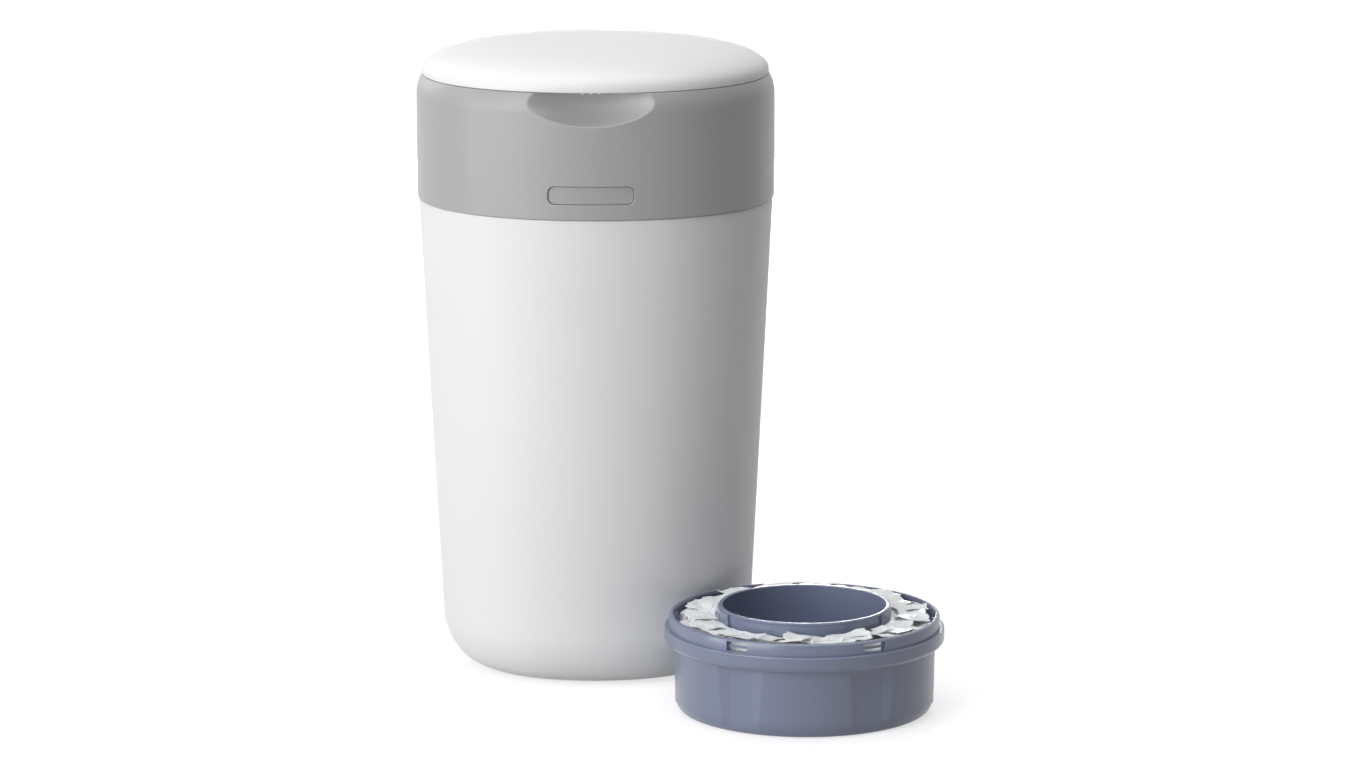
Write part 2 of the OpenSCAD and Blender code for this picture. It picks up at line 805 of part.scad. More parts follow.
// Flutes: flat-floored hollows round the wall; depth is measured at the flange
module flute_cutters(depth) {
    floor_x = case_r - depth;
    side_x = floor_x + flute_side_in;
    outside = case_r + 9;
    edge = flute_floor + flute_side_run;
    at_flutes() translate([0, 0, -eps]) linear_extrude(flange_z + eps) polygon([
        [floor_x, -flute_floor], [floor_x, flute_floor], [side_x, edge], [outside, edge],
        [outside, -edge], [side_x, -edge]
    ]);
}

// Cassette housing: floor, fluted wall and gripping flange; the inner wall follows the flutes
module housing() {
    hole = tube_r - case_wall;
    lip_z = flange_z + flange_h;
    inside = case_r - case_wall;
    curl_r = case_r - foot_curl;
    nose_h = 4;
    difference() {
        rotate_extrude() {
            polygon([
                [hole, 0], [curl_r, 0], [case_r - 2.6, 1.7], [case_r - 0.8, foot_curl],
                [case_r, flange_z + eps], [flange_r, flange_z + eps], [flange_r, lip_z - 1],
                [flange_r - 1, lip_z], [hole, lip_z]
            ]);
            polygon([
                [hole, flange_z], [flange_r - 3, flange_z], [flange_r - 0.9, flange_z + 0.6],
                [flange_r, flange_z + 2.6], [flange_r, flange_z + nose_h],
                [hole, flange_z + nose_h]
            ]);
        }
        flute_cutters(flute_depth);
        difference() {
            rotate_extrude() polygon([
                [hole - eps, case_wall], [curl_r - 0.4, case_wall],
                [inside - 1.8, foot_curl], [inside, flange_z - 2], [inside, lip_z + eps],
                [hole - eps, lip_z + eps]
            ]);
            flute_cutters(flute_depth + case_wall);
        }
    }
}

// Central tube that the film is folded round, with a foot ring, a rolled rim
// and a raised lug below the rim on each side
module inner_tube() {
    bore = tube_r - case_wall;
    foot_top = case_wall + tube_foot_t;
    bead_r = tube_r + 0.7;
    lug_out = 1.6;
    lug_drop = 11;
    lug_top_drop = 1.5;
    lug_bearing = 80;
    lug_half_angle = 18;
    reach = tube_r + 10;
    lug_side = reach * tan(lug_half_angle);
    rotate_extrude() polygon([
        [bore, case_wall], [tube_r + tube_foot_w, case_wall], [tube_r + tube_foot_w, foot_top],
        [tube_r, foot_top], [tube_r, tube_h - 1.8], [bead_r, tube_h - 1.2],
        [bead_r, tube_h - 0.3], [bead_r - 0.5, tube_h], [bore + 0.5, tube_h],
        [bore, tube_h - 0.6]
    ]);
    for (side = [-1, 1]) rotate(side * lug_bearing - 90) intersection() {
        ring(tube_r - case_wall / 2, tube_r + lug_out, tube_h - lug_drop,
             lug_drop - lug_top_drop);
        translate([0, 0, tube_h - 2 * lug_drop]) linear_extrude(2 * lug_drop)
            polygon([[0, 0], [reach, -lug_side], [reach, lug_side]]);
    }
}

// Lock ring: pressed into the housing, it keeps the film pack in place; a thin bar
// crosses each window on its inner side
module lock_ring() {
    base = flange_z + flange_h;
    top = base + ring_h;
    skirt = case_r - case_wall - run_gap;
    skirt_in = skirt - 1.6;
    outer = case_r + 2.2;
    lip_in = skirt + 1.4;
    window_depth = 14;
    bar_z = base + 3.2;
    bar_h = 1.4;
    bar_t = 0.9;
    ring(lip_in, lip_in + bar_t, bar_z, bar_h);
    difference() {
        rotate_extrude() polygon([
            [skirt_in, flange_z + 2], [skirt, flange_z + 2], [skirt, base], [outer, base],
            [outer - 0.5, top - 1], [outer - 1.4, top], [lip_in, top], [lip_in, top - 3],
            [skirt_in, base + 2]
        ]);
        at_flutes() translate([skirt - window_depth / 3, -window_w / 2, base + window_sill])
            cube([window_depth, window_w, window_h]);
    }
}

// Folded film packed round the tube, with a crowned top
module film_pack() {
    outer = case_r - flute_depth - case_wall - film_gap;
    ring_in = case_r - case_wall - run_gap - 2;
    inner = tube_r + 1;
    foot_x = tube_r + tube_foot_w + film_gap;
    low = case_wall + run_gap;
    step = case_wall + tube_foot_t + film_gap + 0.1;
    top = flange_z + flange_h;
    crown = 5.5;
    rotate_extrude() polygon([
        [foot_x, low], [outer - 4, low], [outer, 9], [outer, flange_z],
        [ring_in, flange_z + 3], [ring_in, top + 1], [outer - 4, top + crown - 1.5],
        [(outer + inner) / 2, top + crown], [inner + 5, top + crown - 1.5], [inner, top],
        [inner, step], [foot_x, step]
    ]);
}

module in_cradle() { translate([0, 0, cassette_z]) children(); }
module on_floor() {
    apart = corner_reach - tub_inset(flange_z + flange_h) + spare_gap + flange_r;
    translate(apart * [cos(spare_bearing), -sin(spare_bearing), 0]) children();
}

module cassette_housing() { color("lightsteelblue") in_cradle() housing(); }
module cassette_tube() { color("lightsteelblue") in_cradle() inner_tube(); }
module cassette_lock_ring() { color("lightsteelblue") in_cradle() lock_ring(); }
module cassette_film() { color("white") in_cradle() film_pack(); }
module refill_housing() { color("lightsteelblue") on_floor() housing(); }
module refill_tube() { color("lightsteelblue") on_floor() inner_tube(); }
module refill_lock_ring() { color("lightsteelblue") on_floor() lock_ring(); }
module refill_film() { color("white") on_floor() film_pack(); }

tub();
collar_hinge_pin();
collar_shell();
mouth_bezel();
bezel_screws();
mechanism_deck();
deck_screws();
film_gripper();
gripper_clamp_ring();
clamp_screws();
cutter_guard();
cutter_blade();
click_pawl();
pawl_screw();
latch_button();
latch_leaf_spring();
lid_shell();
lid_liner();
lid_seal();
lid_hinge_pin();
turntable();
twist_ring();
cassette_housing();
cassette_tube();
cassette_lock_ring();
cassette_film();
refill_housing();
refill_tube();
refill_lock_ring();
refill_film();
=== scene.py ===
import json
import math

import bmesh
import bpy
import numpy as np
from mathutils import Matrix, Vector


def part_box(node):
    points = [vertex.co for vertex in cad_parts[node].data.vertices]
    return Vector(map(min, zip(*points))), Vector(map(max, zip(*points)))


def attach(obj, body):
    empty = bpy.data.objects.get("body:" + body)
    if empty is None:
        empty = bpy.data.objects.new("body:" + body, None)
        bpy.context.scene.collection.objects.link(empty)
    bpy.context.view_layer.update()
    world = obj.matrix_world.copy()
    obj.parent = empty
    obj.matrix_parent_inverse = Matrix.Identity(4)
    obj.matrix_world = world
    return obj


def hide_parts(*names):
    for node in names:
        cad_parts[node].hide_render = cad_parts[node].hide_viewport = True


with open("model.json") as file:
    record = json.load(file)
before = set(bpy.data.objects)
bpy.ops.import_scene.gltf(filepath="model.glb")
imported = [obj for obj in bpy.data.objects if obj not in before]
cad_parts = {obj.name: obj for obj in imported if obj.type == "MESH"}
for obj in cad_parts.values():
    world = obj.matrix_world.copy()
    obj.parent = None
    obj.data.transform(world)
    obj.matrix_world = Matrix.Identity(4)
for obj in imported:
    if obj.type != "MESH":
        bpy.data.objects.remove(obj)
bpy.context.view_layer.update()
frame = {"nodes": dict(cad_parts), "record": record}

# Nappy bin with a spare film cassette. Sizes of the pieces are in millimetres and become
# metres in new_mesh; the lamps and the camera are placed in metres. Front is -Y, up is +Z,
# and the origin is on the floor under the middle of the bin.
MM = 0.001

# Plan outline of the bin: bowed sides and round corners, tangent on a 7-24 slope
HALF_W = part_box("collar_shell")[1][0] / MM
SQUARENESS = 15
SIDE_D = 1.7 * SQUARENESS
SIDE_R = HALF_W + SIDE_D
CORNER_C = 0.7 * SQUARENESS
CORNER_R = HALF_W - 0.8 * SQUARENESS
SIDE_TURN = math.atan2(7, 24)
PERIMETER = 4 * (2 * SIDE_TURN * SIDE_R + (math.pi / 2 - 2 * SIDE_TURN) * CORNER_R)

# Heights and insets of the bin's shells
WALL = 2.5
GAP = 0.3
TUB_H = 345.0
RIM_INSET = 1.0
RIM_PLAIN = 8.0
CREASE_INSET = 16.5
CREASE_Z = 38.5
FOOT_INSET = 46.0
FLOOR_T = 3.0
SEAM_Z = 435.0
SHOULDER_H = 14.5
SHOULDER_INSET = 4.2
LID_Z = SEAM_Z + GAP
DOME_H = 24.6
DOME_POWER = 2.7
DOME_WALL = 2.4

# Finger scoop in the collar's front
SCOOP_HALF = 54.0
SCOOP_R = 20.0
SCOOP_END_R = 11.0
SCOOP_Z = SEAM_Z - 3.5
SCOOP_Y = -HALF_W - 3.0
SCOOP_WALL = 2.2
SCOOP_SOFT = 0.6

# Release button in its slot, with half the width and height of the patch round it and the
# collar's rows between the patch and the scoop, and the tub's ledge that its hook holds
PILL_W = 61.4
PILL_H = 12.5
PILL_CORNER_R = 4.7
PILL_Z = TUB_H + 17.8
PILL_RECESS = 1.2
PILL_SWELL = 0.12
PILL_PATCH = (38, 12)
ROWS_ABOVE = (385.0, 396.0, 406.0)
KEEPER_Z = TUB_H - 10.4
KEEPER_H = 3.4
KEEPER_REACH = 3.0
KEEPER_HALF = 12.0

# Hinges behind the collar: their axes as (y, z), how far in front of its axis each lug and
# web is rooted in its wall, and the pins' holes. Then the towers of the bezel's screws.
TUB_AXIS = (HALF_W + 6, TUB_H)
TUB_KNUCKLE_R = 5.0
TUB_LUG_ROOT = 12.5
TUB_WEB_ROOT = 7.5
LID_AXIS = (HALF_W + 5, SEAM_Z - 3.5)
LID_KNUCKLE_R = 4.3
LID_LUG_ROOT = 10.0
LID_WEB_ROOT = 10.7
KNUCKLE_HALF = 18.6
LUG_START = KNUCKLE_HALF + 0.4
COLLAR_HINGE_HALF = 36.0
LID_HINGE_HALF = 32.0
PIN_GAP = 0.05
COLLAR_PIN_BORE = 2.0 + PIN_GAP
LID_PIN_BORE = 1.8 + PIN_GAP
TOWER_R = 5.2
TOWER_HOLE_R = 1.55
TOWER_INSET = 4.0

# Cassette
FLANGE_R = 99.5
CASE_R = 94.0
FLANGE_Z = 48.5
LIP_Z = FLANGE_Z + 11.0
RING_H = 9.2
TUBE_R = 60.0
TUBE_H = 75.0
CASE_WALL = 1.8
CASE_LEAN = 1.0
CASE_LEAN_H = 41.0
CASE_FOOT_Z = 8
FLUTES = 6
FLUTE_STEP = 2 * math.pi / FLUTES
FLUTE_DEPTH = 3.6
FLUTE_FLOOR = 8.9
FLUTE_SLOPE = 3.8 / 17.4
SKIRT_R = CASE_R - CASE_WALL - GAP
WINDOW_W = 17.0
WINDOW_VOID = 6.0
CRADLE_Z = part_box("cassette_housing")[0][2] / MM
SPARE_LOW, SPARE_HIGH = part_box("refill_housing")
SPARE_AT = ((SPARE_LOW[0] + SPARE_HIGH[0]) / 2 / MM, (SPARE_LOW[1] + SPARE_HIGH[1]) / 2 / MM)

# Film: waves of its creases as (length, height, count), then the loose sheets on the pack,
# with the ranges of half their length, of their ragged edge as a share of the full one, and
# of their height over the casing's lip: where one lies, and what no crease goes beyond
CROWN_FOLDS = ((30, 1.3, 3), (14, 0.5, 3))
SHEET_FOLDS = ((34, 1.3, 2), (15, 0.5, 2))
SHEETS = 30
SHEET_T = 0.35
SHEET_HALF_LONG = (11, 20)
SHEET_HALF_WIDE = 8.5
SHEET_EDGE = (0.78, 1.0)
SHEET_RISE = (6.2, 7.8)
SHEET_REACH = (3.5, 10.4)


# Mesh makers

def outline(s):
    """Centres, radii and outward normals of the plan outline at s millimetres from the
    middle of the front, counted towards +X. The turn grows by s over the arc's radius."""
    spans = [(SIDE_TURN, SIDE_R), (math.pi / 2 - 2 * SIDE_TURN, CORNER_R), (SIDE_TURN, SIDE_R)] * 4
    turns = np.cumsum([0] + [span for span, _ in spans])
    lengths = np.cumsum([0] + [span * radius for span, radius in spans])
    phi = np.interp(np.mod(s, lengths[-1]), lengths, turns)
    side = np.round(phi / (math.pi / 2)) * math.pi / 2
    corner = (np.floor(phi / (math.pi / 2)) + 0.5) * math.pi / 2
    on_side = np.abs(phi - side) <= SIDE_TURN + 1e-9
    side_centre = -SIDE_D * np.stack([np.sin(side), -np.cos(side)], -1)
    corner_centre = CORNER_C * math.sqrt(2) * np.stack([np.sin(corner), -np.cos(corner)], -1)
    centre = np.where(on_side[..., None], side_centre, corner_centre)
    radius = np.where(on_side, SIDE_R, CORNER_R)
    return centre, radius, np.stack([np.sin(phi), -np.cos(phi)], -1)


def carried(s, inset, z):
    """Points on the outline at s, moved inwards by inset, at height z: the arc's centre plus
    its radius less the inset, along the normal."""
    centre, radius, normal = outline(s)
    plan = centre + (radius - inset)[..., None] * normal
    return np.concatenate([plan, np.broadcast_to(z, plan.shape[:-1])[..., None]], -1)


def swept(profile, s):
    """Rows of the outline for a profile of (inset, height). A third value shrinks its row
    towards the axis by that factor, to close a floor or a dome."""
    inset, z, shrink = np.array([(*point, 1.0)[:3] for point in profile], float).T[:, :, None]
    points = carried(s, inset, z)
    points[..., :2] *= shrink[..., None]
    return points


def turned(radius, z, angles, at):
    """Points round an upright axis at a place: radius times the sine towards the side, and
    radius times the cosine towards the front."""
    return np.stack(np.broadcast_arrays(at[0] + radius * np.sin(angles),
                                        at[1] - radius * np.cos(angles), at[2] + z), -1)


def lathe(profile, angles, at=(0, 0, 0)):
    """Rows of circles for a profile of (radius, height)."""
    radius, z = np.array(profile, float).T[:, :, None]
    return turned(radius, z, angles, at)


def softened(points, radii, steps=4):
    """A polyline whose corners are arcs: each corner is cut at radius times the tangent of
    half its turn, and a point is added on both sides so that flat stretches stay flat. The
    arc is the curve (1 - t)^2 start + 2 t (1 - t) corner + t^2 end."""
    out = []
    for i, p in enumerate(points):
        r = radii.get(i, 0)
        if not r:
            out.append(p)
            continue
        p = np.array(p, float)
        a = np.array(points[i - 1], float) - p
        b = np.array(points[(i + 1) % len(points)], float) - p
        la, lb = np.linalg.norm(a), np.linalg.norm(b)
        a, b = a / la, b / lb
        turn = math.pi - math.acos(max(-1, min(1, float(a @ b))))
        cut = min(r * math.tan(turn / 2), 0.45 * la, 0.45 * lb)
        start, end = p + a * cut, p + b * cut
        if la > 3 * cut:
            out.append(tuple(start + a * cut * 0.8))
        for t in np.linspace(0, 1, steps + 1):
            out.append(tuple((1 - t) ** 2 * start + 2 * t * (1 - t) * p + t ** 2 * end))
        if lb > 3 * cut:
            out.append(tuple(end + b * cut * 0.8))
    return out


def band(first, second):
    """Quads between two closed loops of point numbers."""
    return np.stack([first, np.roll(first, -1), np.roll(second, -1), second], -1).tolist()


def rim_of(block):
    """Point numbers round a block of the grid, from its first corner along its first row."""
    return np.concatenate([block[0, :-1], block[:-1, -1], block[-1, :0:-1], block[:0:-1, 0]])


def grid_faces(rows, cols, close_rows=False, holes=None):
    """Quads of a grid whose columns close into a ring: each joins a point, its neighbour and
    the two in the next row. Holes marks the quads that are left out."""
    i, j = np.mgrid[:rows if close_rows else rows - 1, :cols]
    k, n = (i + 1) % rows, (j + 1) % cols
    quads = np.stack([i * cols + j, i * cols + n, k * cols + n, k * cols + j], -1)
    return (quads.reshape(-1, 4) if holes is None else quads[~holes]).tolist()


def ring_solid(points, poles=False):
    """A closed solid from a grid of points, rows by columns. With poles, the first and last
    rows are closed by fans round their middles; without, the last row joins the first."""
    rows, cols = points.shape[:2]
    verts = points.reshape(-1, 3)
    faces = grid_faces(rows, cols, close_rows=not poles)
    if poles:
        verts = np.concatenate([verts, points[:1].mean(1), points[-1:].mean(1)])
        j = np.arange(cols)
        n = (j + 1) % cols
        last = (rows - 1) * cols
        faces += np.stack([n, j, np.full(cols, rows * cols)], -1).tolist()
        faces += np.stack([last + j, last + n, np.full(cols, rows * cols + 1)], -1).tolist()
    return verts, faces


def joined(parts):
    """One list of points and faces from several."""
    verts, faces, count = [], [], 0
    for v, f in parts:
        verts.append(np.asarray(v, float))
        faces += [tuple(i + count for i in face) for face in f]
        count += len(v)
    return np.concatenate(verts), faces


def new_mesh(name, verts, faces, crease=None):
    """A smooth closed object from points in millimetres, with its faces turned outwards.
    Edges that turn by more than crease degrees stay sharp."""
    mesh = bpy.data.meshes.new(name)
    mesh.from_pydata((np.asarray(verts) * MM).tolist(), [], faces)
    bm = bmesh.new()
    bm.from_mesh(mesh)
    bmesh.ops.remove_doubles(bm, verts=bm.verts, dist=1e-6)
    bmesh.ops.recalc_face_normals(bm, faces=bm.faces)
    bm.to_mesh(mesh)
    bm.free()
    mesh.shade_smooth()
    if crease:
        mesh.set_sharp_from_angle(angle=math.radians(crease))
    obj = bpy.data.objects.new(name, mesh)
    bpy.context.scene.collection.objects.link(obj)
    return obj


def extruded(loops, x0, x1, edge=0.4):
    """A plate between two stations on the X axis, from a closed drawing of (y, z) points and
    its holes, with its long edges cut back by edge."""
    bm = bmesh.new()
    for loop in loops:
        ring = [bm.verts.new((x0, y, z)) for y, z in loop]
        for i, v in enumerate(ring):
            bm.edges.new((v, ring[(i + 1) % len(ring)]))
    bmesh.ops.triangle_fill(bm, use_beauty=True, use_dissolve=True, edges=bm.edges[:])
    faces = bm.faces[:]
    moved = bmesh.ops.extrude_face_region(bm, geom=faces)
    bmesh.ops.translate(bm, vec=(x1 - x0, 0, 0),
                        verts=[g for g in moved["geom"] if isinstance(g, bmesh.types.BMVert)])
    bmesh.ops.recalc_face_normals(bm, faces=bm.faces)
    rims = [e for e in bm.edges if e.calc_face_angle(0) > math.radians(40)]
    bmesh.ops.bevel(bm, geom=rims, offset=edge, segments=2, profile=0.7, affect="EDGES",
                    clamp_overlap=True)
    bmesh.ops.triangulate(bm, faces=[f for f in bm.faces if len(f.verts) > 4])
    bm.verts.index_update()
    verts = np.array([v.co[:] for v in bm.verts])
    faces = [tuple(v.index for v in f.verts) for f in bm.faces]
    bm.free()
    return verts, faces


def arc_loop(centre, r, start=0, end=360, steps=32):
    """Points of an arc in the Y-Z plane, from one angle to another in degrees."""
    a = np.radians(np.linspace(start, end, steps, endpoint=abs(end - start) < 360))
    return list(zip(centre[0] + r * np.cos(a), centre[1] + r * np.sin(a)))


# The bin's shells

ROUND = np.linspace(0, PERIMETER, 480, endpoint=False)


def tub_inset(z):
    """Inset of the tapered wall at a height above the crease: it grows evenly downwards."""
    return RIM_INSET + (CREASE_INSET - RIM_INSET) * (TUB_H - z) / (TUB_H - CREASE_Z)


def foot_curve(t, base, steps=14):
    """From the flat foot up to the crease, a quarter of an ellipse; t is the skin's depth."""
    u = np.linspace(math.pi / 2, 0, steps)
    return list(zip(FOOT_INSET - (FOOT_INSET - CREASE_INSET - t) * np.cos(u),
                    CREASE_Z - (CREASE_Z - base) * np.sin(u)))


def make_tub():
    """Tapered wall over a curved foot, with a soft crease, a floor, hinge lugs and keeper."""
    foot = foot_curve(0, 0)
    inner = foot_curve(WALL, FLOOR_T)[::-1]
    heights = np.linspace(TUB_H - RIM_PLAIN, CREASE_Z + 8, 12)[::-1]
    wall_rows = [(tub_inset(z), z) for z in heights]
    rim = softened([wall_rows[-1], (RIM_INSET, TUB_H), (RIM_INSET + WALL, TUB_H),
                    (RIM_INSET + WALL, TUB_H - RIM_PLAIN)], {1: 0.7, 2: 0.5})
    low = softened([foot[-2], foot[-1], wall_rows[0]], {1: 2.0}, 5)
    profile = [(FOOT_INSET, 0.0, 0.5)] + foot[:-2] + low[:-1] + wall_rows[:-1] + rim
    profile += inner + [(FOOT_INSET, FLOOR_T, 0.5)]
    root = TUB_AXIS[0] - TUB_LUG_ROOT
    lug = arc_loop(TUB_AXIS, TUB_KNUCKLE_R, -90, 180, 24) + [(root, TUB_H - 6), (root, TUB_H - 24)]
    bore = arc_loop(TUB_AXIS, COLLAR_PIN_BORE)
    wall_y = tub_inset(KEEPER_Z) + WALL - HALF_W
    keeper = [(wall_y - 1, KEEPER_Z), (wall_y + KEEPER_REACH, KEEPER_Z),
              (wall_y + KEEPER_REACH, KEEPER_Z + KEEPER_H), (wall_y - 1, KEEPER_Z + KEEPER_H)]
    return new_mesh("tub_moulding", *joined([
        ring_solid(swept(profile, ROUND), poles=True),
        extruded([lug, bore], LUG_START, COLLAR_HINGE_HALF),
        extruded([lug, bore], -COLLAR_HINGE_HALF, -LUG_START),
        extruded([keeper], -KEEPER_HALF, KEEPER_HALF)]))


def make_lid():
    """Shallow dome: its height is the dome's rise times (1 - (x / edge) ^ power) ^ (1 / power)
    at x from the axis. Inside 20 mm the rows shrink towards the top."""
    reach = HALF_W - SHOULDER_INSET
    middle = 20.0

    def height(x, t):
        part = np.maximum(0, 1 - (x / (reach - t)) ** DOME_POWER)
        return LID_Z + (DOME_H - t) * part ** (1 / DOME_POWER)

    def flank(t, steps):
        edge = reach - t
        x = edge - (edge - middle) * (1 - np.cos(np.linspace(0, math.pi / 2, steps))) ** 1.25
        return list(zip(HALF_W - x, height(x, t)))

    def cap(t):
        x = np.array([15.0, 10.0, 5.0, 2.0])
        return list(zip(np.full(len(x), HALF_W - middle), height(x, t), x / middle))

    outer, inner = flank(0, 42), flank(DOME_WALL, 30)
    rim = softened([outer[2], (outer[0][0], LID_Z), (inner[0][0], LID_Z), inner[2]],
                   {1: 0.7, 2: 0.4})
    profile = cap(0)[::-1] + outer[:2:-1] + rim + inner[3:] + cap(DOME_WALL)
    root = LID_AXIS[0] - LID_WEB_ROOT
    web_top = [(LID_AXIS[0] - 2, LID_Z + 2.5), (root, LID_Z + 4.8), (root, LID_Z)]
    cut = math.degrees(math.asin((LID_Z - LID_AXIS[1]) / LID_KNUCKLE_R))
    knuckle = arc_loop(LID_AXIS, LID_KNUCKLE_R, 180 - cut, 360 + cut, 32) + web_top
    return new_mesh("lid_dome", *joined([
        ring_solid(swept(profile, ROUND), poles=True),
        extruded([knuckle, arc_loop(LID_AXIS, LID_PIN_BORE)], -KNUCKLE_HALF, KNUCKLE_HALF)]))


def scoop_radius(x):
    """Radius of the scoop's oval at a station: a flat arc that runs into two round ends."""
    flat = SCOOP_HALF - SCOOP_END_R
    belly = (flat ** 2 + SCOOP_R ** 2 - SCOOP_END_R ** 2) / (2 * (SCOOP_R - SCOOP_END_R))
    meet = flat * belly / (belly - SCOOP_END_R)
    x = np.abs(x)
    ends = np.sqrt(np.maximum(0, SCOOP_END_R ** 2 - np.maximum(0, x - flat) ** 2))
    arc = np.sqrt(np.maximum(0, belly ** 2 - x ** 2)) - (belly - SCOOP_R)
    return np.where(x < meet, arc, np.where(x < SCOOP_HALF, ends, 0))


def scooped(points, grow):
    """Pushes points of the collar's front back onto the scoop's bowl. The bowl's depth is
    the root of radius squared minus height squared, joined to the wall by a soft maximum."""
    x, y, z = points[..., 0], points[..., 1], points[..., 2]
    radius = scoop_radius(x * SCOOP_HALF / (SCOOP_HALF + grow)) + grow * (np.abs(x) < SCOOP_HALF)
    reach = radius ** 2 - (z - SCOOP_Z) ** 2
    bowl = SCOOP_Y + np.sign(reach) * np.sqrt(np.abs(reach))
    soft = (y + bowl + np.sqrt((y - bowl) ** 2 + SCOOP_SOFT ** 2)) / 2
    near = (y < -HALF_W / 2) & (np.abs(x) < SCOOP_HALF + 6) & (z > SCOOP_Z - SCOOP_R - 6)
    fade = np.clip((soft - y) / (0.22 * SCOOP_SOFT) - 0.15, 0, 1)
    out = points.copy()
    out[..., 1] = np.where(near, y + (soft - y) * fade, y)
    return out


def pill_ring(targets, grow):
    """Points of the button's outline grown all round, each towards its own target outside:
    the nearest point of the pill's core, plus the corner radius along the way out."""
    core = np.array([PILL_W / 2 - PILL_CORNER_R, PILL_H / 2 - PILL_CORNER_R])
    foot = np.clip(targets, -core, core)
    way = targets - foot
    way /= np.linalg.norm(way, axis=1)[:, None]
    return foot + way * (PILL_CORNER_R + grow)


def collar_profile():
    """Closed section of the collar as (inset, height), with its counts of outer and top rows
    and the number of the outer row above the button. The rows are close where the scoop
    needs them, and the shoulder rolls on an arc of height over the sine of its turn."""
    turn = 2 * math.atan(SHOULDER_INSET / SHOULDER_H)
    roll_r = SHOULDER_H / math.sin(turn)
    a = np.linspace(0, turn, 34)
    roll = list(zip(roll_r * (1 - np.cos(a)), SEAM_Z - SHOULDER_H + roll_r * np.sin(a)))
    z0 = TUB_H + GAP
    patch_low, patch_high = PILL_Z - PILL_PATCH[1], PILL_Z + PILL_PATCH[1]
    zs = [*np.linspace(patch_low, patch_high, 13)[:-1], patch_high, *ROWS_ABOVE,
          *np.arange(SCOOP_Z - SCOOP_R - 2, SEAM_Z - SHOULDER_H, 0.45)]
    bottom = softened([(0, patch_low), (0, z0), (WALL, z0), (WALL, patch_low)], {1: 0.6, 2: 0.4})
    top = softened([roll[-3], roll[-1], (roll[-1][0] + WALL, SEAM_Z),
                    (roll[-3][0] + WALL, roll[-3][1])], {1: 0.7, 2: 0.5})
    outer = [(0, z) for z in zs] + roll[:-3]
    patch_row = zs.index(patch_high)
    thinned = outer[patch_row + 1::2][::-1] + outer[:patch_row + 1][::-1]
    inner = [(inset + WALL, z) for inset, z in thinned]
    profile = outer + top + inner + bottom[::-1][1:-1]
    return profile, len(outer), len(top), len(inner), patch_row


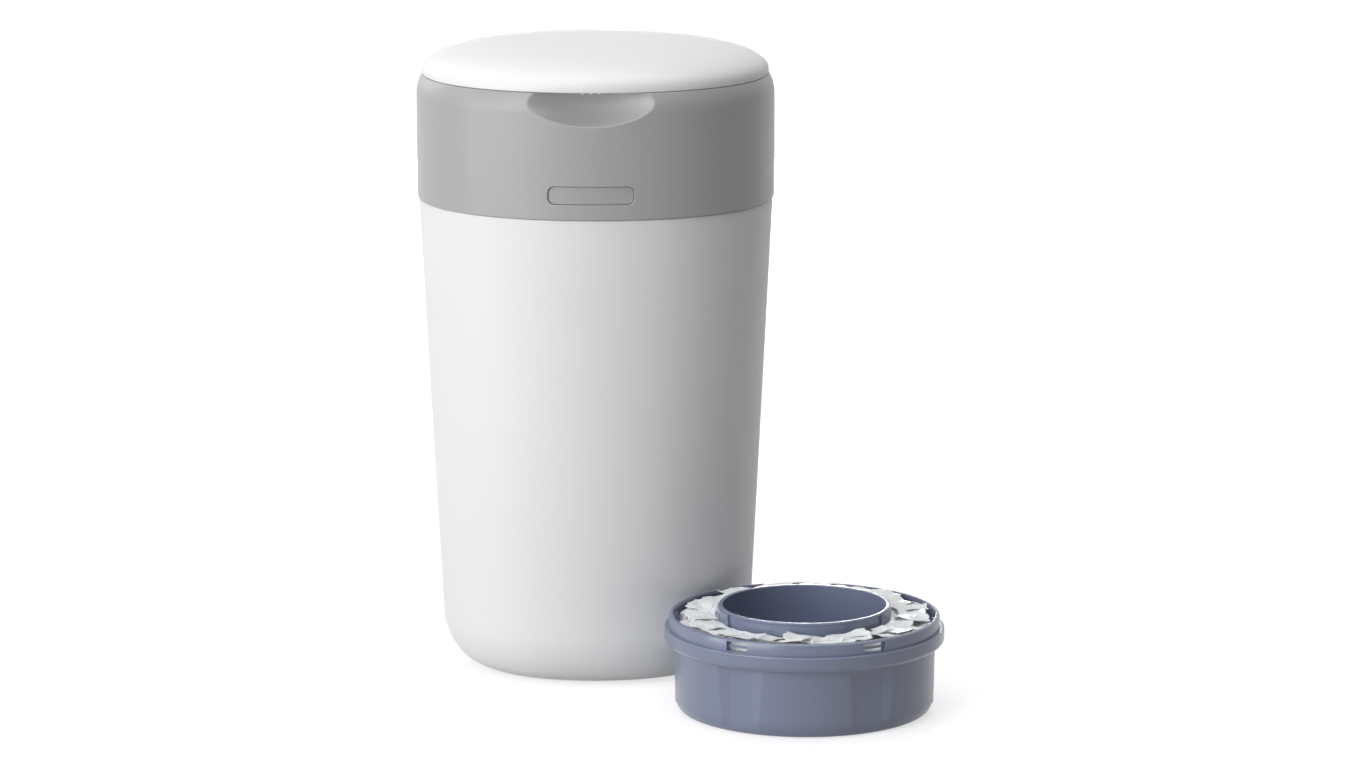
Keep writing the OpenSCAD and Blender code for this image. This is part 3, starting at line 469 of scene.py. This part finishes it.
def make_collar():
    """Upright wall with a rolled shoulder; the scoop is pressed into its grid, and round the
    button's slot the grid runs in rings from a rectangle to the pill's edge."""
    profile, n_outer, n_top, n_inner, patch_row = collar_profile()
    s = np.concatenate([np.arange(-SCOOP_HALF, SCOOP_HALF + 0.01, 0.5),
                        np.linspace(SCOOP_HALF + 1.5, PERIMETER - SCOOP_HALF - 1.5, 250)])
    insets, heights = np.array(profile, float).T
    grow = np.zeros(len(profile))
    top = slice(n_outer, n_outer + n_top)
    grow[top] = SCOOP_WALL * np.clip((insets[top] - insets[n_outer]) / WALL, 0, 1)
    grow[n_outer + n_top:] = SCOOP_WALL
    points = scooped(swept(profile, s), grow[:, None])
    rows, cols = points.shape[:2]
    ids = np.arange(rows * cols).reshape(rows, cols)
    left, right = [int(np.argmin(np.abs(s - x))) for x in (-PILL_PATCH[0], PILL_PATCH[0])]
    back_high = n_outer + n_top + n_inner - 1
    back_low = back_high - patch_row
    holes = np.zeros((rows, cols), bool)
    holes[:patch_row, left:right] = holes[back_low:back_high, left:right] = True
    faces = grid_faces(rows, cols, close_rows=True, holes=holes)
    front_rim = rim_of(ids[:patch_row + 1, left:right + 1])
    back_rim = rim_of(ids[back_low:back_high + 1, left:right + 1][::-1])
    rim_plan = np.stack([s[front_rim % cols], heights[front_rim // cols] - PILL_Z], -1)
    blocks = [points.reshape(-1, 3)]

    def to_pill(previous, rings):
        """Rings of (growth, inset, share): the share of the way from pill to rectangle."""
        for spread, inset, share in rings:
            hole = pill_ring(rim_plan, GAP + spread)
            flat = hole + (rim_plan - hole) * share
            current = sum(len(block) for block in blocks) + np.arange(len(flat))
            blocks.append(carried(flat[:, 0], inset, flat[:, 1] + PILL_Z))
            faces.extend(band(previous, current))
            previous = current
        return previous

    edge_r = 0.28
    slot = to_pill(front_rim, [
        (edge_r + 0.8, 0, 0.65), (edge_r + 0.8, 0, 0.3), (edge_r + 0.5, 0, 0), (edge_r, 0, 0),
        (edge_r * 0.5, 0.07, 0), (edge_r * 0.15, 0.2, 0), (0, edge_r, 0), (0, WALL / 2, 0),
        (0, WALL - 0.3, 0)])
    back = to_pill(back_rim, [(0.6, WALL, 0.4), (0.6, WALL, 0), (0.3, WALL, 0)])
    faces.extend(band(slot, back))

    web_y, lug_y = TUB_AXIS[0] - TUB_WEB_ROOT, LID_AXIS[0] - LID_LUG_ROOT
    web = arc_loop(TUB_AXIS, TUB_KNUCKLE_R, -195, 45, 26)
    web += [(web_y, TUB_H + 22), (web_y, TUB_H + 1.5)]
    lug = arc_loop(LID_AXIS, LID_KNUCKLE_R, -90, 180, 24)
    lug += [(lug_y, LID_AXIS[1] - 8), (lug_y, LID_AXIS[1] - 20)]
    bore = arc_loop(LID_AXIS, LID_PIN_BORE)
    pieces = [(np.concatenate(blocks), faces),
              extruded([web, arc_loop(TUB_AXIS, COLLAR_PIN_BORE)], -KNUCKLE_HALF, KNUCKLE_HALF),
              extruded([lug, bore], LUG_START, LID_HINGE_HALF),
              extruded([lug, bore], -LID_HINGE_HALF, -LUG_START)]
    low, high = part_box("mechanism_deck")[1][2] / MM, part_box("mouth_bezel")[0][2] / MM
    tower = softened([(TOWER_HOLE_R, low), (TOWER_R, low), (TOWER_R, high), (TOWER_HOLE_R, high)],
                     {1: 0.4, 2: 0.4})
    turns = np.linspace(0, 2 * math.pi, 40, endpoint=False)
    reach = CORNER_C * math.sqrt(2) + CORNER_R - WALL - TOWER_INSET
    for corner in np.radians([45, 135, 225, 315]):
        place = (reach * math.cos(corner), reach * math.sin(corner), 0)
        pieces.append(ring_solid(lathe(tower, turns, place)))
    return new_mesh("collar_moulding", *joined(pieces))


def make_button():
    """Pill face with a round edge, set back in the collar, on a lip with an arm and a hook.
    Its rings are the core line plus a share of the way to the pill's edge."""
    half_w, half_h = PILL_W / 2, PILL_H / 2
    across = np.linspace(-half_w - 1, half_w + 1, 90)
    upwards = np.linspace(-half_h - 1, half_h + 1, 22)[1:-1]
    edge = pill_ring(np.concatenate([
        np.stack([across, np.full(90, -half_h - 1)], -1),
        np.stack([np.full(20, half_w + 1), upwards], -1),
        np.stack([across[::-1], np.full(90, half_h + 1)], -1),
        np.stack([np.full(20, -half_w - 1), upwards[::-1]], -1)]), PILL_SWELL)
    line = half_w - half_h
    foot = np.stack([np.clip(edge[:, 0], -line, line), np.zeros(len(edge))], -1)
    lip, lip_edge = 2.0, 0.3
    face, back = PILL_RECESS, WALL + 2.5
    share, inset = np.array([
        (0.0, face), (0.35, face), (0.7, face), (0.86, face), (0.93, face), (0.965, face + 0.08),
        (0.99, face + 0.25), (1.0, face + 0.5), (1.0, WALL), (1.0, WALL + GAP),
        (1 + (lip - lip_edge) / half_h, WALL + GAP), (1 + lip / half_h, WALL + GAP + lip_edge),
        (1 + lip / half_h, back - lip_edge), (1 + (lip - lip_edge) / half_h, back),
        (0.6, back), (0.0, back)]).T[:, :, None]
    flat = foot + (edge - foot) * share[..., None]
    rows = carried(flat[..., 0], inset, flat[..., 1] + PILL_Z)
    plate = (rows.reshape(-1, 3), grid_faces(*rows.shape[:2]))
    low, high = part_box("latch_button")
    arm_t, arm_half, arm_root = 2.5, 9.0, 11.0
    tooth_l, tooth_h = 2.0, 4.0
    top, hook = PILL_Z + half_h, low[2] / MM
    arm_back = high[1] / MM
    arm_front = arm_back - arm_t
    tooth = arm_front - GAP - tooth_l
    front = -HALF_W + back - 0.8
    drawing = [(front, top), (arm_back, top), (arm_back, hook), (tooth, hook),
               (tooth, hook + tooth_h), (arm_front, hook + tooth_h),
               (arm_front, top - arm_root), (front, top - arm_root)]
    arm = extruded([drawing], -arm_half, arm_half)
    return new_mesh("release_button", *joined([plate, arm]))


# The cassette

def flute_angles():
    """Turns round the cassette. They are set by their degrees from the middle of a flute,
    and lie close together where its edges run."""
    edges = np.concatenate([np.arange(0, 4.8, 0.8), np.arange(4.8, 6.6, 0.15),
                            np.arange(6.8, 9.8, 0.6), np.arange(9.8, 13.6, 0.15),
                            np.arange(14, 30, 0.8)])
    middle = math.degrees(FLUTE_STEP) / 2
    span = np.concatenate([middle - edges[::-1], middle + edges[1:]])
    turns = [span + math.degrees(FLUTE_STEP) * k for k in range(FLUTES)]
    return np.radians(np.unique(np.round(np.concatenate(turns), 4)))


AROUND = flute_angles()


def off_flute(angles):
    """Turn between an angle and the middle of its flute."""
    return np.abs(np.mod(angles, FLUTE_STEP) - FLUTE_STEP / 2)


def soft_min(a, b, soft):
    """The smaller of two values, with a rounded changeover."""
    return (a + b - np.sqrt((a - b) ** 2 + soft ** 2)) / 2


def flute_radius(angles, depth):
    """Radius of a flute's outline: a flat floor across the middle and slanting sides. A
    straight line at distance d has the radius d over the cosine of the turn."""
    turn = off_flute(angles)
    flat = CASE_R - depth
    floor = flat / np.cos(turn)
    side = (flat - FLUTE_SLOPE * FLUTE_FLOOR) / (np.cos(turn) - FLUTE_SLOPE * np.sin(turn))
    return np.where(flat * np.tan(turn) < FLUTE_FLOOR, floor, side)


def fluted(profile, cut, depth, soft, at):
    """A lathed profile whose rows are cut by the flutes where cut is 1."""
    radius, z = np.array(profile, float).T[:, :, None]
    cut_radius = soft_min(radius, flute_radius(AROUND, depth), soft)
    radius = radius + (cut_radius - radius) * np.array(cut)[:, None]
    return turned(radius, z, AROUND, at)


def case_radius(z):
    """Radius of the casing's wall, which grows evenly by CASE_LEAN over CASE_LEAN_H."""
    return CASE_R - CASE_LEAN + CASE_LEAN * (z - CASE_FOOT_Z) / CASE_LEAN_H


def make_housing(name, at):
    """Floor ring, fluted wall with a curled foot, and the gripping flange, one closed shell."""
    hole = TUBE_R - CASE_WALL
    neck = FLANGE_Z - 1
    foot = softened([(hole, 0), (CASE_R - 5.2, 0), (case_radius(CASE_FOOT_Z), CASE_FOOT_Z)],
                    {1: 5.0}, 8)
    wall = [(case_radius(z), z) for z in np.linspace(CASE_FOOT_Z, neck, 14)]
    flange = softened([(CASE_R, neck), (CASE_R, FLANGE_Z), (FLANGE_R - 2, FLANGE_Z),
                       (FLANGE_R, FLANGE_Z + 2.6), (FLANGE_R, LIP_Z), (CASE_R - 1, LIP_Z),
                       (CASE_R - CASE_WALL, LIP_Z)], {2: 1.6, 3: 2.6, 4: 0.9}, 5)
    inner = [(CASE_R - CASE_WALL, z) for z in np.linspace(LIP_Z, neck, 5)]
    inner_wall = [(case_radius(z) - CASE_WALL, z) for z in np.linspace(neck - 1, CASE_FOOT_Z, 8)]
    base = softened([(CASE_R - CASE_WALL - 1.2, CASE_FOOT_Z), (CASE_R - CASE_WALL - 4.6, CASE_WALL),
                     (hole, CASE_WALL)], {1: 3.0})
    low, high = foot[:-1] + wall, flange[1:]
    outside = fluted(low + high, [1] * len(low) + [0] * len(high), FLUTE_DEPTH, 0.22, at)
    high, low = inner, inner_wall[:-1] + base
    inside = fluted(high + low, [0] * len(high) + [1] * len(low), FLUTE_DEPTH + CASE_WALL, 0.5, at)
    return new_mesh(name, *ring_solid(np.concatenate([outside, inside])))


def arc_block(profile, start, end, at):
    """A closed profile of (radius, height) carried from one turn to another, with flat ends."""
    rows = lathe(profile, np.linspace(start, end, 24), at).transpose(1, 0, 2)
    return ring_solid(rows, poles=True)


def make_tube(name, at):
    """Central tube with a foot ring, a rolled rim and a raised lug on each side."""
    bore = TUBE_R - CASE_WALL
    foot_r, foot_top = TUBE_R + 6, CASE_WALL + 1.6
    rim_r = TUBE_R + 0.7
    profile = softened([
        (bore, CASE_WALL), (foot_r, CASE_WALL), (foot_r, foot_top), (TUBE_R, foot_top),
        (TUBE_R, TUBE_H - 2.2), (rim_r, TUBE_H - 1.6), (rim_r, TUBE_H), (bore, TUBE_H)],
        {3: 0.6, 4: 0.8, 5: 0.6, 6: 0.7, 7: 0.7}, 5)
    lug_in, lug_out = TUBE_R - 0.9, TUBE_R + 1.6
    lug = softened([(lug_in, TUBE_H - 11), (lug_out, TUBE_H - 11), (lug_out, TUBE_H - 1.5),
                    (lug_in, TUBE_H - 1.5)], {1: 0.3, 2: 0.3})
    parts = [ring_solid(lathe(profile, AROUND, at))]
    for middle in (-80, 80):
        parts.append(arc_block(lug, math.radians(middle - 18), math.radians(middle + 18), at))
    return new_mesh(name, *joined(parts), crease=40)


def make_lock_ring(name, at):
    """Ring with a light top lip. Six windows are cut through its band over the flutes; a thin
    bar runs across them behind the band, and a cheek closes the ring's hollow beside each."""
    top = LIP_Z + RING_H
    inner, outer = SKIRT_R - 1.6, CASE_R + 2.2
    lip = SKIRT_R + 1.4
    band_in = outer - 2.2
    sill, head = LIP_Z + 0.7, top - 1.7
    half = WINDOW_W / 2 / outer
    turns = []
    for middle in FLUTE_STEP * (np.arange(FLUTES) + 0.5):
        turns += [middle - half, middle + half]
        turns += list(np.linspace(middle + half, middle + FLUTE_STEP - half, 60)[1:-1])
        turns += list(np.linspace(middle - half, middle + half, 14)[1:-1])
    angles = np.array(sorted(turns))
    profile = softened([
        (inner, FLANGE_Z + 2), (SKIRT_R, FLANGE_Z + 2), (SKIRT_R, LIP_Z), (outer, LIP_Z),
        (outer, sill), (outer, head), (outer - 0.5, top - 0.6), (lip, top), (lip - 0.4, top - 2.4),
        (band_in - 0.6, head), (band_in, sill), (inner, LIP_Z + 0.5)], {6: 1.2, 7: 0.5}, 4)
    points = lathe(profile, angles, at)
    rows, cols = points.shape[:2]
    heights = [z for _, z in profile]
    out_sill, out_head = heights.index(sill), heights.index(head)
    in_head, in_sill = [rows - 1 - heights[::-1].index(z) for z in (head, sill)]
    middles = (angles + np.append(angles[1:], angles[0] + 2 * math.pi)) / 2
    open_cols = off_flute(middles) < half - 1e-9
    i = np.arange(rows)
    open_rows = ((out_sill <= i) & (i < out_head)) | ((in_head <= i) & (i < in_sill))
    faces = grid_faces(rows, cols, close_rows=True, holes=open_rows[:, None] & open_cols)
    j = np.flatnonzero(open_cols)
    n = (j + 1) % cols
    for out_row, in_row in ((out_sill, in_sill), (out_head, in_head)):
        faces += np.stack([out_row * cols + j, out_row * cols + n,
                           in_row * cols + n, in_row * cols + j], -1).tolist()
    jambs = np.concatenate([j[~open_cols[(j - 1) % cols]], n[~open_cols[n]]])
    faces += np.stack([row * cols + jambs for row in (out_sill, out_head, in_head, in_sill)],
                      -1).tolist()
    bar = [(lip, LIP_Z + 3.2), (lip + 0.9, LIP_Z + 3.2), (lip + 0.9, LIP_Z + 4.6),
           (lip, LIP_Z + 4.6)]
    cheek = [(inner + 0.4, sill), (band_in + 0.3, sill), (band_in + 0.3, head),
             (inner + 0.4, head)]
    parts = [(points.reshape(-1, 3), faces), ring_solid(lathe(bar, angles, at))]
    for middle in FLUTE_STEP * (np.arange(FLUTES) + 0.5):
        for side in (-1, 1):
            edge = middle + side * half
            parts.append(arc_block(cheek, edge, edge + side / outer, at))
    return new_mesh(name, *joined(parts), crease=35)


def folds(x, y, draw, waves):
    """Height of creased film: triangle waves in several directions, so that flat facets meet
    in sharp creases; each wave is a little bent by a slow sine."""
    total = np.zeros_like(x)
    for length, height, count in waves:
        for _ in range(count):
            way = draw.uniform(0, math.pi)
            shift = draw.uniform(0, length)
            bend = draw.uniform(0.05, 0.15) * length
            along = x * math.cos(way) + y * math.sin(way)
            across = -x * math.sin(way) + y * math.cos(way)
            t = (along + shift + bend * np.sin(across / length * 2.1)) / length
            total += height * (np.abs(np.mod(t, 1) - 0.5) * 4 - 1) / math.sqrt(count)
    return total


def window_gap(angles):
    """How far the film stops short of the lock ring: the full void behind each window, and
    less towards both sides, down to nothing half a window's width away."""
    return WINDOW_VOID * np.clip(2 - off_flute(angles) / (WINDOW_W / 2 / CASE_R), 0, 1)


def film_sheet(draw, turn, inner, outer):
    """A creased sheet of film lying across the pack, thin and closed, with a ragged outline.
    Its height is a start, a lean along both parameters, a rise of 1.2 mm outwards, the folds
    and the lift of its ends."""
    count_u, count_v = 17, 13
    u, v = np.meshgrid(np.linspace(-1, 1, count_u), np.linspace(-1, 1, count_v), indexing="ij")
    half_long = draw.uniform(*SHEET_HALF_LONG)
    half_wide = draw.uniform(SHEET_HALF_WIDE, (outer - inner) / 2)
    middle = draw.uniform(inner + half_wide, outer - half_wide)
    ragged = [np.interp(np.linspace(0, 1, n), np.linspace(0, 1, 6), draw.uniform(*SHEET_EDGE, 6))
              for n in (count_v, count_v, count_u, count_u)]
    u = np.where(u > 0, u * ragged[0][None, :], u * ragged[1][None, :])
    v = np.where(v > 0, v * ragged[2][:, None], v * ragged[3][:, None])
    skew = draw.uniform(-0.5, 0.5)
    r = np.clip(middle + v * half_wide, inner, outer)
    angle = turn + (u * half_long + skew * v * half_wide) / r
    r = np.minimum(r, outer - window_gap(angle))
    x, y = r * np.sin(angle), -r * np.cos(angle)
    tilt = draw.uniform(-1.2, 1.2, 2)
    z = draw.uniform(*SHEET_RISE) + tilt[0] * u + tilt[1] * v
    z += 1.2 * (r - inner) / (outer - inner)
    z += folds(x, y, draw, SHEET_FOLDS)
    z += draw.uniform(0, 2.0) * np.clip(np.abs(u) - 0.5, 0, 1) * 2
    top = np.stack([x, y, LIP_Z + np.clip(z, *SHEET_REACH)], -1)
    ids = np.arange(u.size).reshape(u.shape)
    sheet = np.stack([ids[:-1, :-1], ids[:-1, 1:], ids[1:, 1:], ids[1:, :-1]], -1).reshape(-1, 4)
    rim = rim_of(ids.T)
    faces = np.concatenate([sheet, sheet + u.size]).tolist() + band(rim, rim + u.size)
    return np.stack([top, top - np.array([0, 0, SHEET_T])]).reshape(-1, 3), faces


def make_film(name, at, seed):
    """Film packed round the tube: a creased crown, and sheets that overlap all the way round.
    It keeps 0.6 mm off the tube, 0.5 mm off the casing and 0.4 mm off the ring's skirt."""
    draw = np.random.default_rng(seed)
    inner, outer = TUBE_R + 0.6, CASE_R - FLUTE_DEPTH - CASE_WALL - 0.5
    ring_in = SKIRT_R - 2
    tube_foot = TUBE_R + 6.6
    angles = np.linspace(0, 2 * math.pi, 720, endpoint=False)
    body = lathe([(tube_foot, 2.4), (outer - 4, 2.4), (outer, 9), (outer, FLANGE_Z),
                  (ring_in, FLANGE_Z + 3), (ring_in, LIP_Z - 1)], angles)
    reach = np.linspace(inner + 1.2, ring_in, 40)[::-1]
    crown = lathe([(ring_in, LIP_Z - 0.8)] + [(r, LIP_Z + 5.2) for r in reach], angles)
    crown[1:, :, 2] += folds(crown[1:, :, 0], crown[1:, :, 1], draw, CROWN_FOLDS)
    radius = np.hypot(crown[..., 0], crown[..., 1])
    pull = window_gap(angles) * (radius - inner) / (ring_in - inner)
    crown[..., :2] *= (1 - pull / radius)[..., None]
    foot = lathe([(inner, 4.2), (tube_foot, 4.2)], angles)
    parts = [ring_solid(np.concatenate([body, crown, foot]))]
    for k in draw.permutation(SHEETS):
        turn = 2 * math.pi * (k + draw.uniform(-0.3, 0.3)) / SHEETS
        parts.append(film_sheet(draw, turn, inner + 1.4, ring_in + 2.2))
    verts, faces = joined(parts)
    return new_mesh(name, verts + np.array(at), faces, crease=14)


# Materials

def srgb(code):
    """Linear colour of a hex code."""
    parts = [int(code[i:i + 2], 16) / 255 for i in (1, 3, 5)]
    return [c / 12.92 if c <= 0.04045 else ((c + 0.055) / 1.055) ** 2.4 for c in parts] + [1.0]


def add_node(tree, kind, values=None, feeds=None, **props):
    """A new node with its own properties, the values of its open inputs, and the sockets
    that feed its other inputs."""
    node = tree.nodes.new(kind)
    for prop, value in props.items():
        setattr(node, prop, value)
    for key, value in (values or {}).items():
        node.inputs[key].default_value = value
    for key, socket in (feeds or {}).items():
        tree.links.new(socket, node.inputs[key])
    return node


# Sizes of the slow patterns: colour drifts over about 111 mm, and gloss varies over 25 mm
DRIFT_MM = 1000 / 9
CLOUD_MM = 25.0
# Depth in metres that light goes into the film, and the height of the finest relief
FILM_DEPTH = 0.004
RELIEF_H = 0.0001


def moulded(name, light, dark, rough, rough_spread, grain_mm, bump, specular=0.5, metal=0.0,
            depth=0.0):
    """Moulded surface: slow colour drift between two close tones, grain of grain_mm in the
    bump, and roughness that varies slowly. A scale is 1000 over the size in millimetres."""
    mat = bpy.data.materials.new(name)
    mat.use_nodes = True
    tree = mat.node_tree
    shader = tree.nodes["Principled BSDF"]
    for key, value in (("Metallic", metal), ("Specular IOR Level", specular),
                       ("Subsurface Weight", depth), ("Subsurface Scale", FILM_DEPTH)):
        shader.inputs[key].default_value = value
    space = {"Vector": add_node(tree, "ShaderNodeTexCoord").outputs["Object"]}
    drift = add_node(tree, "ShaderNodeTexNoise", {"Scale": 1000 / DRIFT_MM, "Detail": 2}, space)
    cloud = add_node(tree, "ShaderNodeTexNoise", {"Scale": 1000 / CLOUD_MM, "Detail": 3}, space)
    grain = add_node(tree, "ShaderNodeTexNoise", {"Scale": 1000 / grain_mm, "Detail": 2}, space)
    tone = add_node(tree, "ShaderNodeMix", {"A": srgb(dark), "B": srgb(light)},
                    {"Factor": drift.outputs["Fac"]}, data_type="RGBA")
    spread = add_node(tree, "ShaderNodeMapRange",
                      {"To Min": rough - rough_spread, "To Max": rough + rough_spread},
                      {"Value": cloud.outputs["Fac"]})
    relief = add_node(tree, "ShaderNodeBump", {"Strength": bump, "Distance": RELIEF_H},
                      {"Height": grain.outputs["Fac"]})
    for key, socket in (("Base Color", tone.outputs["Result"]),
                        ("Roughness", spread.outputs["Result"]),
                        ("Normal", relief.outputs["Normal"])):
        tree.links.new(socket, shader.inputs[key])
    return mat


# One look for each material slot of the record, in the order of moulded's values. The grain
# of moulded plastic is finer than 0.2 mm; it is drawn at 0.5 to 1 mm so that it shows.
LOOKS = (
    # White moulded polypropylene of the tub and the lid: satin, spreads lights into soft fields
    ("white_polypropylene", "#F6F6F6", "#F2F2F2", 0.46, 0.04, 0.8, 0.10, 0.45),
    # Grey moulded polypropylene of the collar and the button, with a fine matt grain
    ("grey_polypropylene", "#ADADAF", "#A9A9AB", 0.38, 0.04, 0.6, 0.14, 0.6),
    # Pale grey mouldings inside the collar, duller than the shells
    ("pale_grey_polypropylene", "#D4D5D6", "#CFD0D1", 0.48, 0.04, 0.7, 0.15),
    # White acetal of the turning parts: a little warmer, and smoother where it runs
    ("white_acetal", "#F0F0EC", "#EAEAE6", 0.32, 0.04, 1.0, 0.08),
    # Blue-grey polypropylene of the cassette: glossier, so that its flutes show
    ("blue_grey_polypropylene", "#7C849F", "#778099", 0.24, 0.015, 0.9, 0.08, 0.8),
    # Black thermoplastic rubber of the gripper and the seal, dull
    ("black_elastomer", "#2B2B2D", "#242426", 0.68, 0.05, 0.5, 0.30, 0.35),
    # Zinc-plated steel of the pins, screws, spring and blade: bright, mirrors things blurred
    ("steel", "#C9CACC", "#BDBEC1", 0.30, 0.06, 0.4, 0.10, 0.5, 1.0),
    # Thin white polyethylene film: bright, a little glossy, lets light in, wrinkled at 8 mm
    ("white_film", "#FFFFFF", "#F8FAFB", 0.38, 0.06, 8.0, 0.12, 0.4, 0.0, 0.1),
)
MATERIALS = {look[0]: moulded(*look) for look in LOOKS}


def paint(obj, mat):
    """Gives an object one material."""
    obj.data.materials.clear()
    obj.data.materials.append(mat)


def fit_piece(obj, body, slot, node):
    """Body, record slot, material and the CAD node that the piece stands for."""
    paint(obj, MATERIALS[slot])
    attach(obj, body)
    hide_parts(node)


fit_piece(make_tub(), "tub", "white_polypropylene", "tub")
fit_piece(make_lid(), "lid", "white_polypropylene", "lid_shell")
fit_piece(make_collar(), "collar", "grey_polypropylene", "collar_shell")
fit_piece(make_button(), "latch", "grey_polypropylene", "latch_button")
for prefix, place, body, seed in (("cassette", (0, 0, CRADLE_Z), "twister", 5),
                                  ("refill", (*SPARE_AT, 0), "spare_cassette", 11)):
    for maker, piece, node in ((make_housing, "_case", "_housing"), (make_tube, "_core", "_tube"),
                               (make_lock_ring, "_ring", "_lock_ring")):
        fit_piece(maker(prefix + piece, place), body, "blue_grey_polypropylene", prefix + node)
    fit_piece(make_film(prefix + "_pack", place, seed), body, "white_film", prefix + "_film")

SLOT_OF = {part["node"]: part["material_slot"] for part in frame["record"]["subparts"]}
for node_name, node_obj in frame["nodes"].items():
    paint(node_obj, MATERIALS[SLOT_OF[node_name]])
    node_obj.data.shade_smooth()
    node_obj.data.set_sharp_from_angle(angle=math.radians(30))


# Floor, light and camera

def seen_plainly(tree):
    """1 for the rays of the camera, of gloss and of glass, and 0 for the rays that light."""
    rays = add_node(tree, "ShaderNodeLightPath").outputs
    seen = rays["Is Camera Ray"]
    for ray in ("Is Glossy Ray", "Is Transmission Ray"):
        seen = add_node(tree, "ShaderNodeMath", feeds={0: seen, 1: rays[ray]},
                        operation="MAXIMUM").outputs[0]
    return seen


# Glow of the floor: the lesser strength up to the nearer distance in metres, and from there
# evenly up to the greater one. The light that the world casts is a fiftieth of white.
GLOW = {"From Min": 0.4, "From Max": 3.0, "To Min": 0.66, "To Max": 0.95}
WORLD_LIGHT = 0.02


def make_floor():
    """Plain pale floor under the object. To the camera and in gloss it also glows, more so
    with distance, so that it reads as white paper and keeps the object's shadow."""
    half, drop = 9.0, 0.0003
    corners = [(x * half, y * half, -drop) for x, y in ((-1, -1), (1, -1), (1, 1), (-1, 1))]
    mesh = bpy.data.meshes.new("floor")
    mesh.from_pydata(corners, [], [(0, 1, 2, 3)])
    floor = bpy.data.objects.new("floor", mesh)
    bpy.context.scene.collection.objects.link(floor)
    mat = moulded("painted_floor", "#BEBEBE", "#BABABA", 0.75, 0.04, 30.0, 0.05, 0.2)
    tree = mat.node_tree
    shader = tree.nodes["Principled BSDF"]
    shader.inputs["Emission Color"].default_value = srgb("#FFFFFF")
    place = add_node(tree, "ShaderNodeTexCoord").outputs["Object"]
    far = add_node(tree, "ShaderNodeVectorMath", feeds={0: place}, operation="LENGTH")
    glow = add_node(tree, "ShaderNodeMapRange", GLOW, {"Value": far.outputs["Value"]})
    shown = add_node(tree, "ShaderNodeMath", operation="MULTIPLY",
                     feeds={0: seen_plainly(tree), 1: glow.outputs["Result"]})
    tree.links.new(shown.outputs[0], shader.inputs["Emission Strength"])
    paint(floor, mat)


def area_light(name, place, target, width, height, power):
    """Soft box at a place in metres, facing a target; its power is in watts."""
    data = bpy.data.lights.new(name, "AREA")
    data.shape = "RECTANGLE"
    data.size, data.size_y = width, height
    data.energy = power
    lamp = bpy.data.objects.new(name, data)
    lamp.location = place
    lamp.rotation_euler = (Vector(target) - Vector(place)).to_track_quat("-Z", "Y").to_euler()
    lamp.visible_camera = False
    bpy.context.scene.collection.objects.link(lamp)


def make_light():
    """Soft boxes: a large one in front on the left with two weaker ones beside it, two
    above, and two behind. The world is white to the camera and in gloss, and hardly lights."""
    area_light("key_left", (-1.6, -2.05, 1.1), (0, 0, 0.25), 1.7, 2.0, 34)
    area_light("strip_left", (-2.3, -0.6, 0.6), (0, 0, 0.2), 0.5, 1.4, 6.5)
    area_light("low_left", (-2.1, -1.2, 0.45), (0, 0, 0.25), 1.4, 0.8, 7.5)
    area_light("top", (0.2, -0.1, 2.6), (0.05, 0, 0), 2.0, 2.2, 31)
    area_light("top_front", (-0.6, -1.5, 2.4), (0, 0, 0.2), 1.6, 1.6, 10)
    area_light("back_left", (-1.6, 1.6, 1.2), (0, 0, 0.25), 1.0, 1.4, 6)
    area_light("low_back", (0, 2.6, 0.24), (0, 0, 0.24), 0.7, 0.42, 24)
    world = bpy.data.worlds.new("studio")
    world.use_nodes = True
    tree = world.node_tree
    backdrop = tree.nodes["Background"]
    backdrop.inputs["Color"].default_value = srgb("#FFFFFF")
    level = add_node(tree, "ShaderNodeMapRange", {"To Min": WORLD_LIGHT, "To Max": 1.0},
                     {"Value": seen_plainly(tree)})
    tree.links.new(level.outputs["Result"], backdrop.inputs["Strength"])
    bpy.context.scene.world = world


def make_camera():
    """Camera at the photograph's view: a long lens from the front, a little above. The lens
    is the sensor's width times the focal length in pixels over the picture's width."""
    pixels_wide, focal_px = 1359, 4859.5
    place = Vector((0.0998, -3.5198, 0.87598))
    yaw, pitch = -0.011, 0.188
    forward = Vector((math.sin(yaw) * math.cos(pitch), math.cos(yaw) * math.cos(pitch),
                      -math.sin(pitch)))
    right = Vector((math.cos(yaw), -math.sin(yaw), 0))
    up = right.cross(forward)
    data = bpy.data.cameras.new("camera")
    data.sensor_width = 36
    data.lens = data.sensor_width * focal_px / pixels_wide
    data.clip_start, data.clip_end = 0.05, 50
    camera = bpy.data.objects.new("camera", data)
    turn = Matrix((right, up, -forward)).transposed()
    camera.matrix_world = Matrix.Translation(place) @ turn.to_4x4()
    bpy.context.scene.collection.objects.link(camera)
    bpy.context.scene.camera = camera


make_floor()
make_light()
make_camera()
bpy.context.scene.view_settings.view_transform = "Standard"
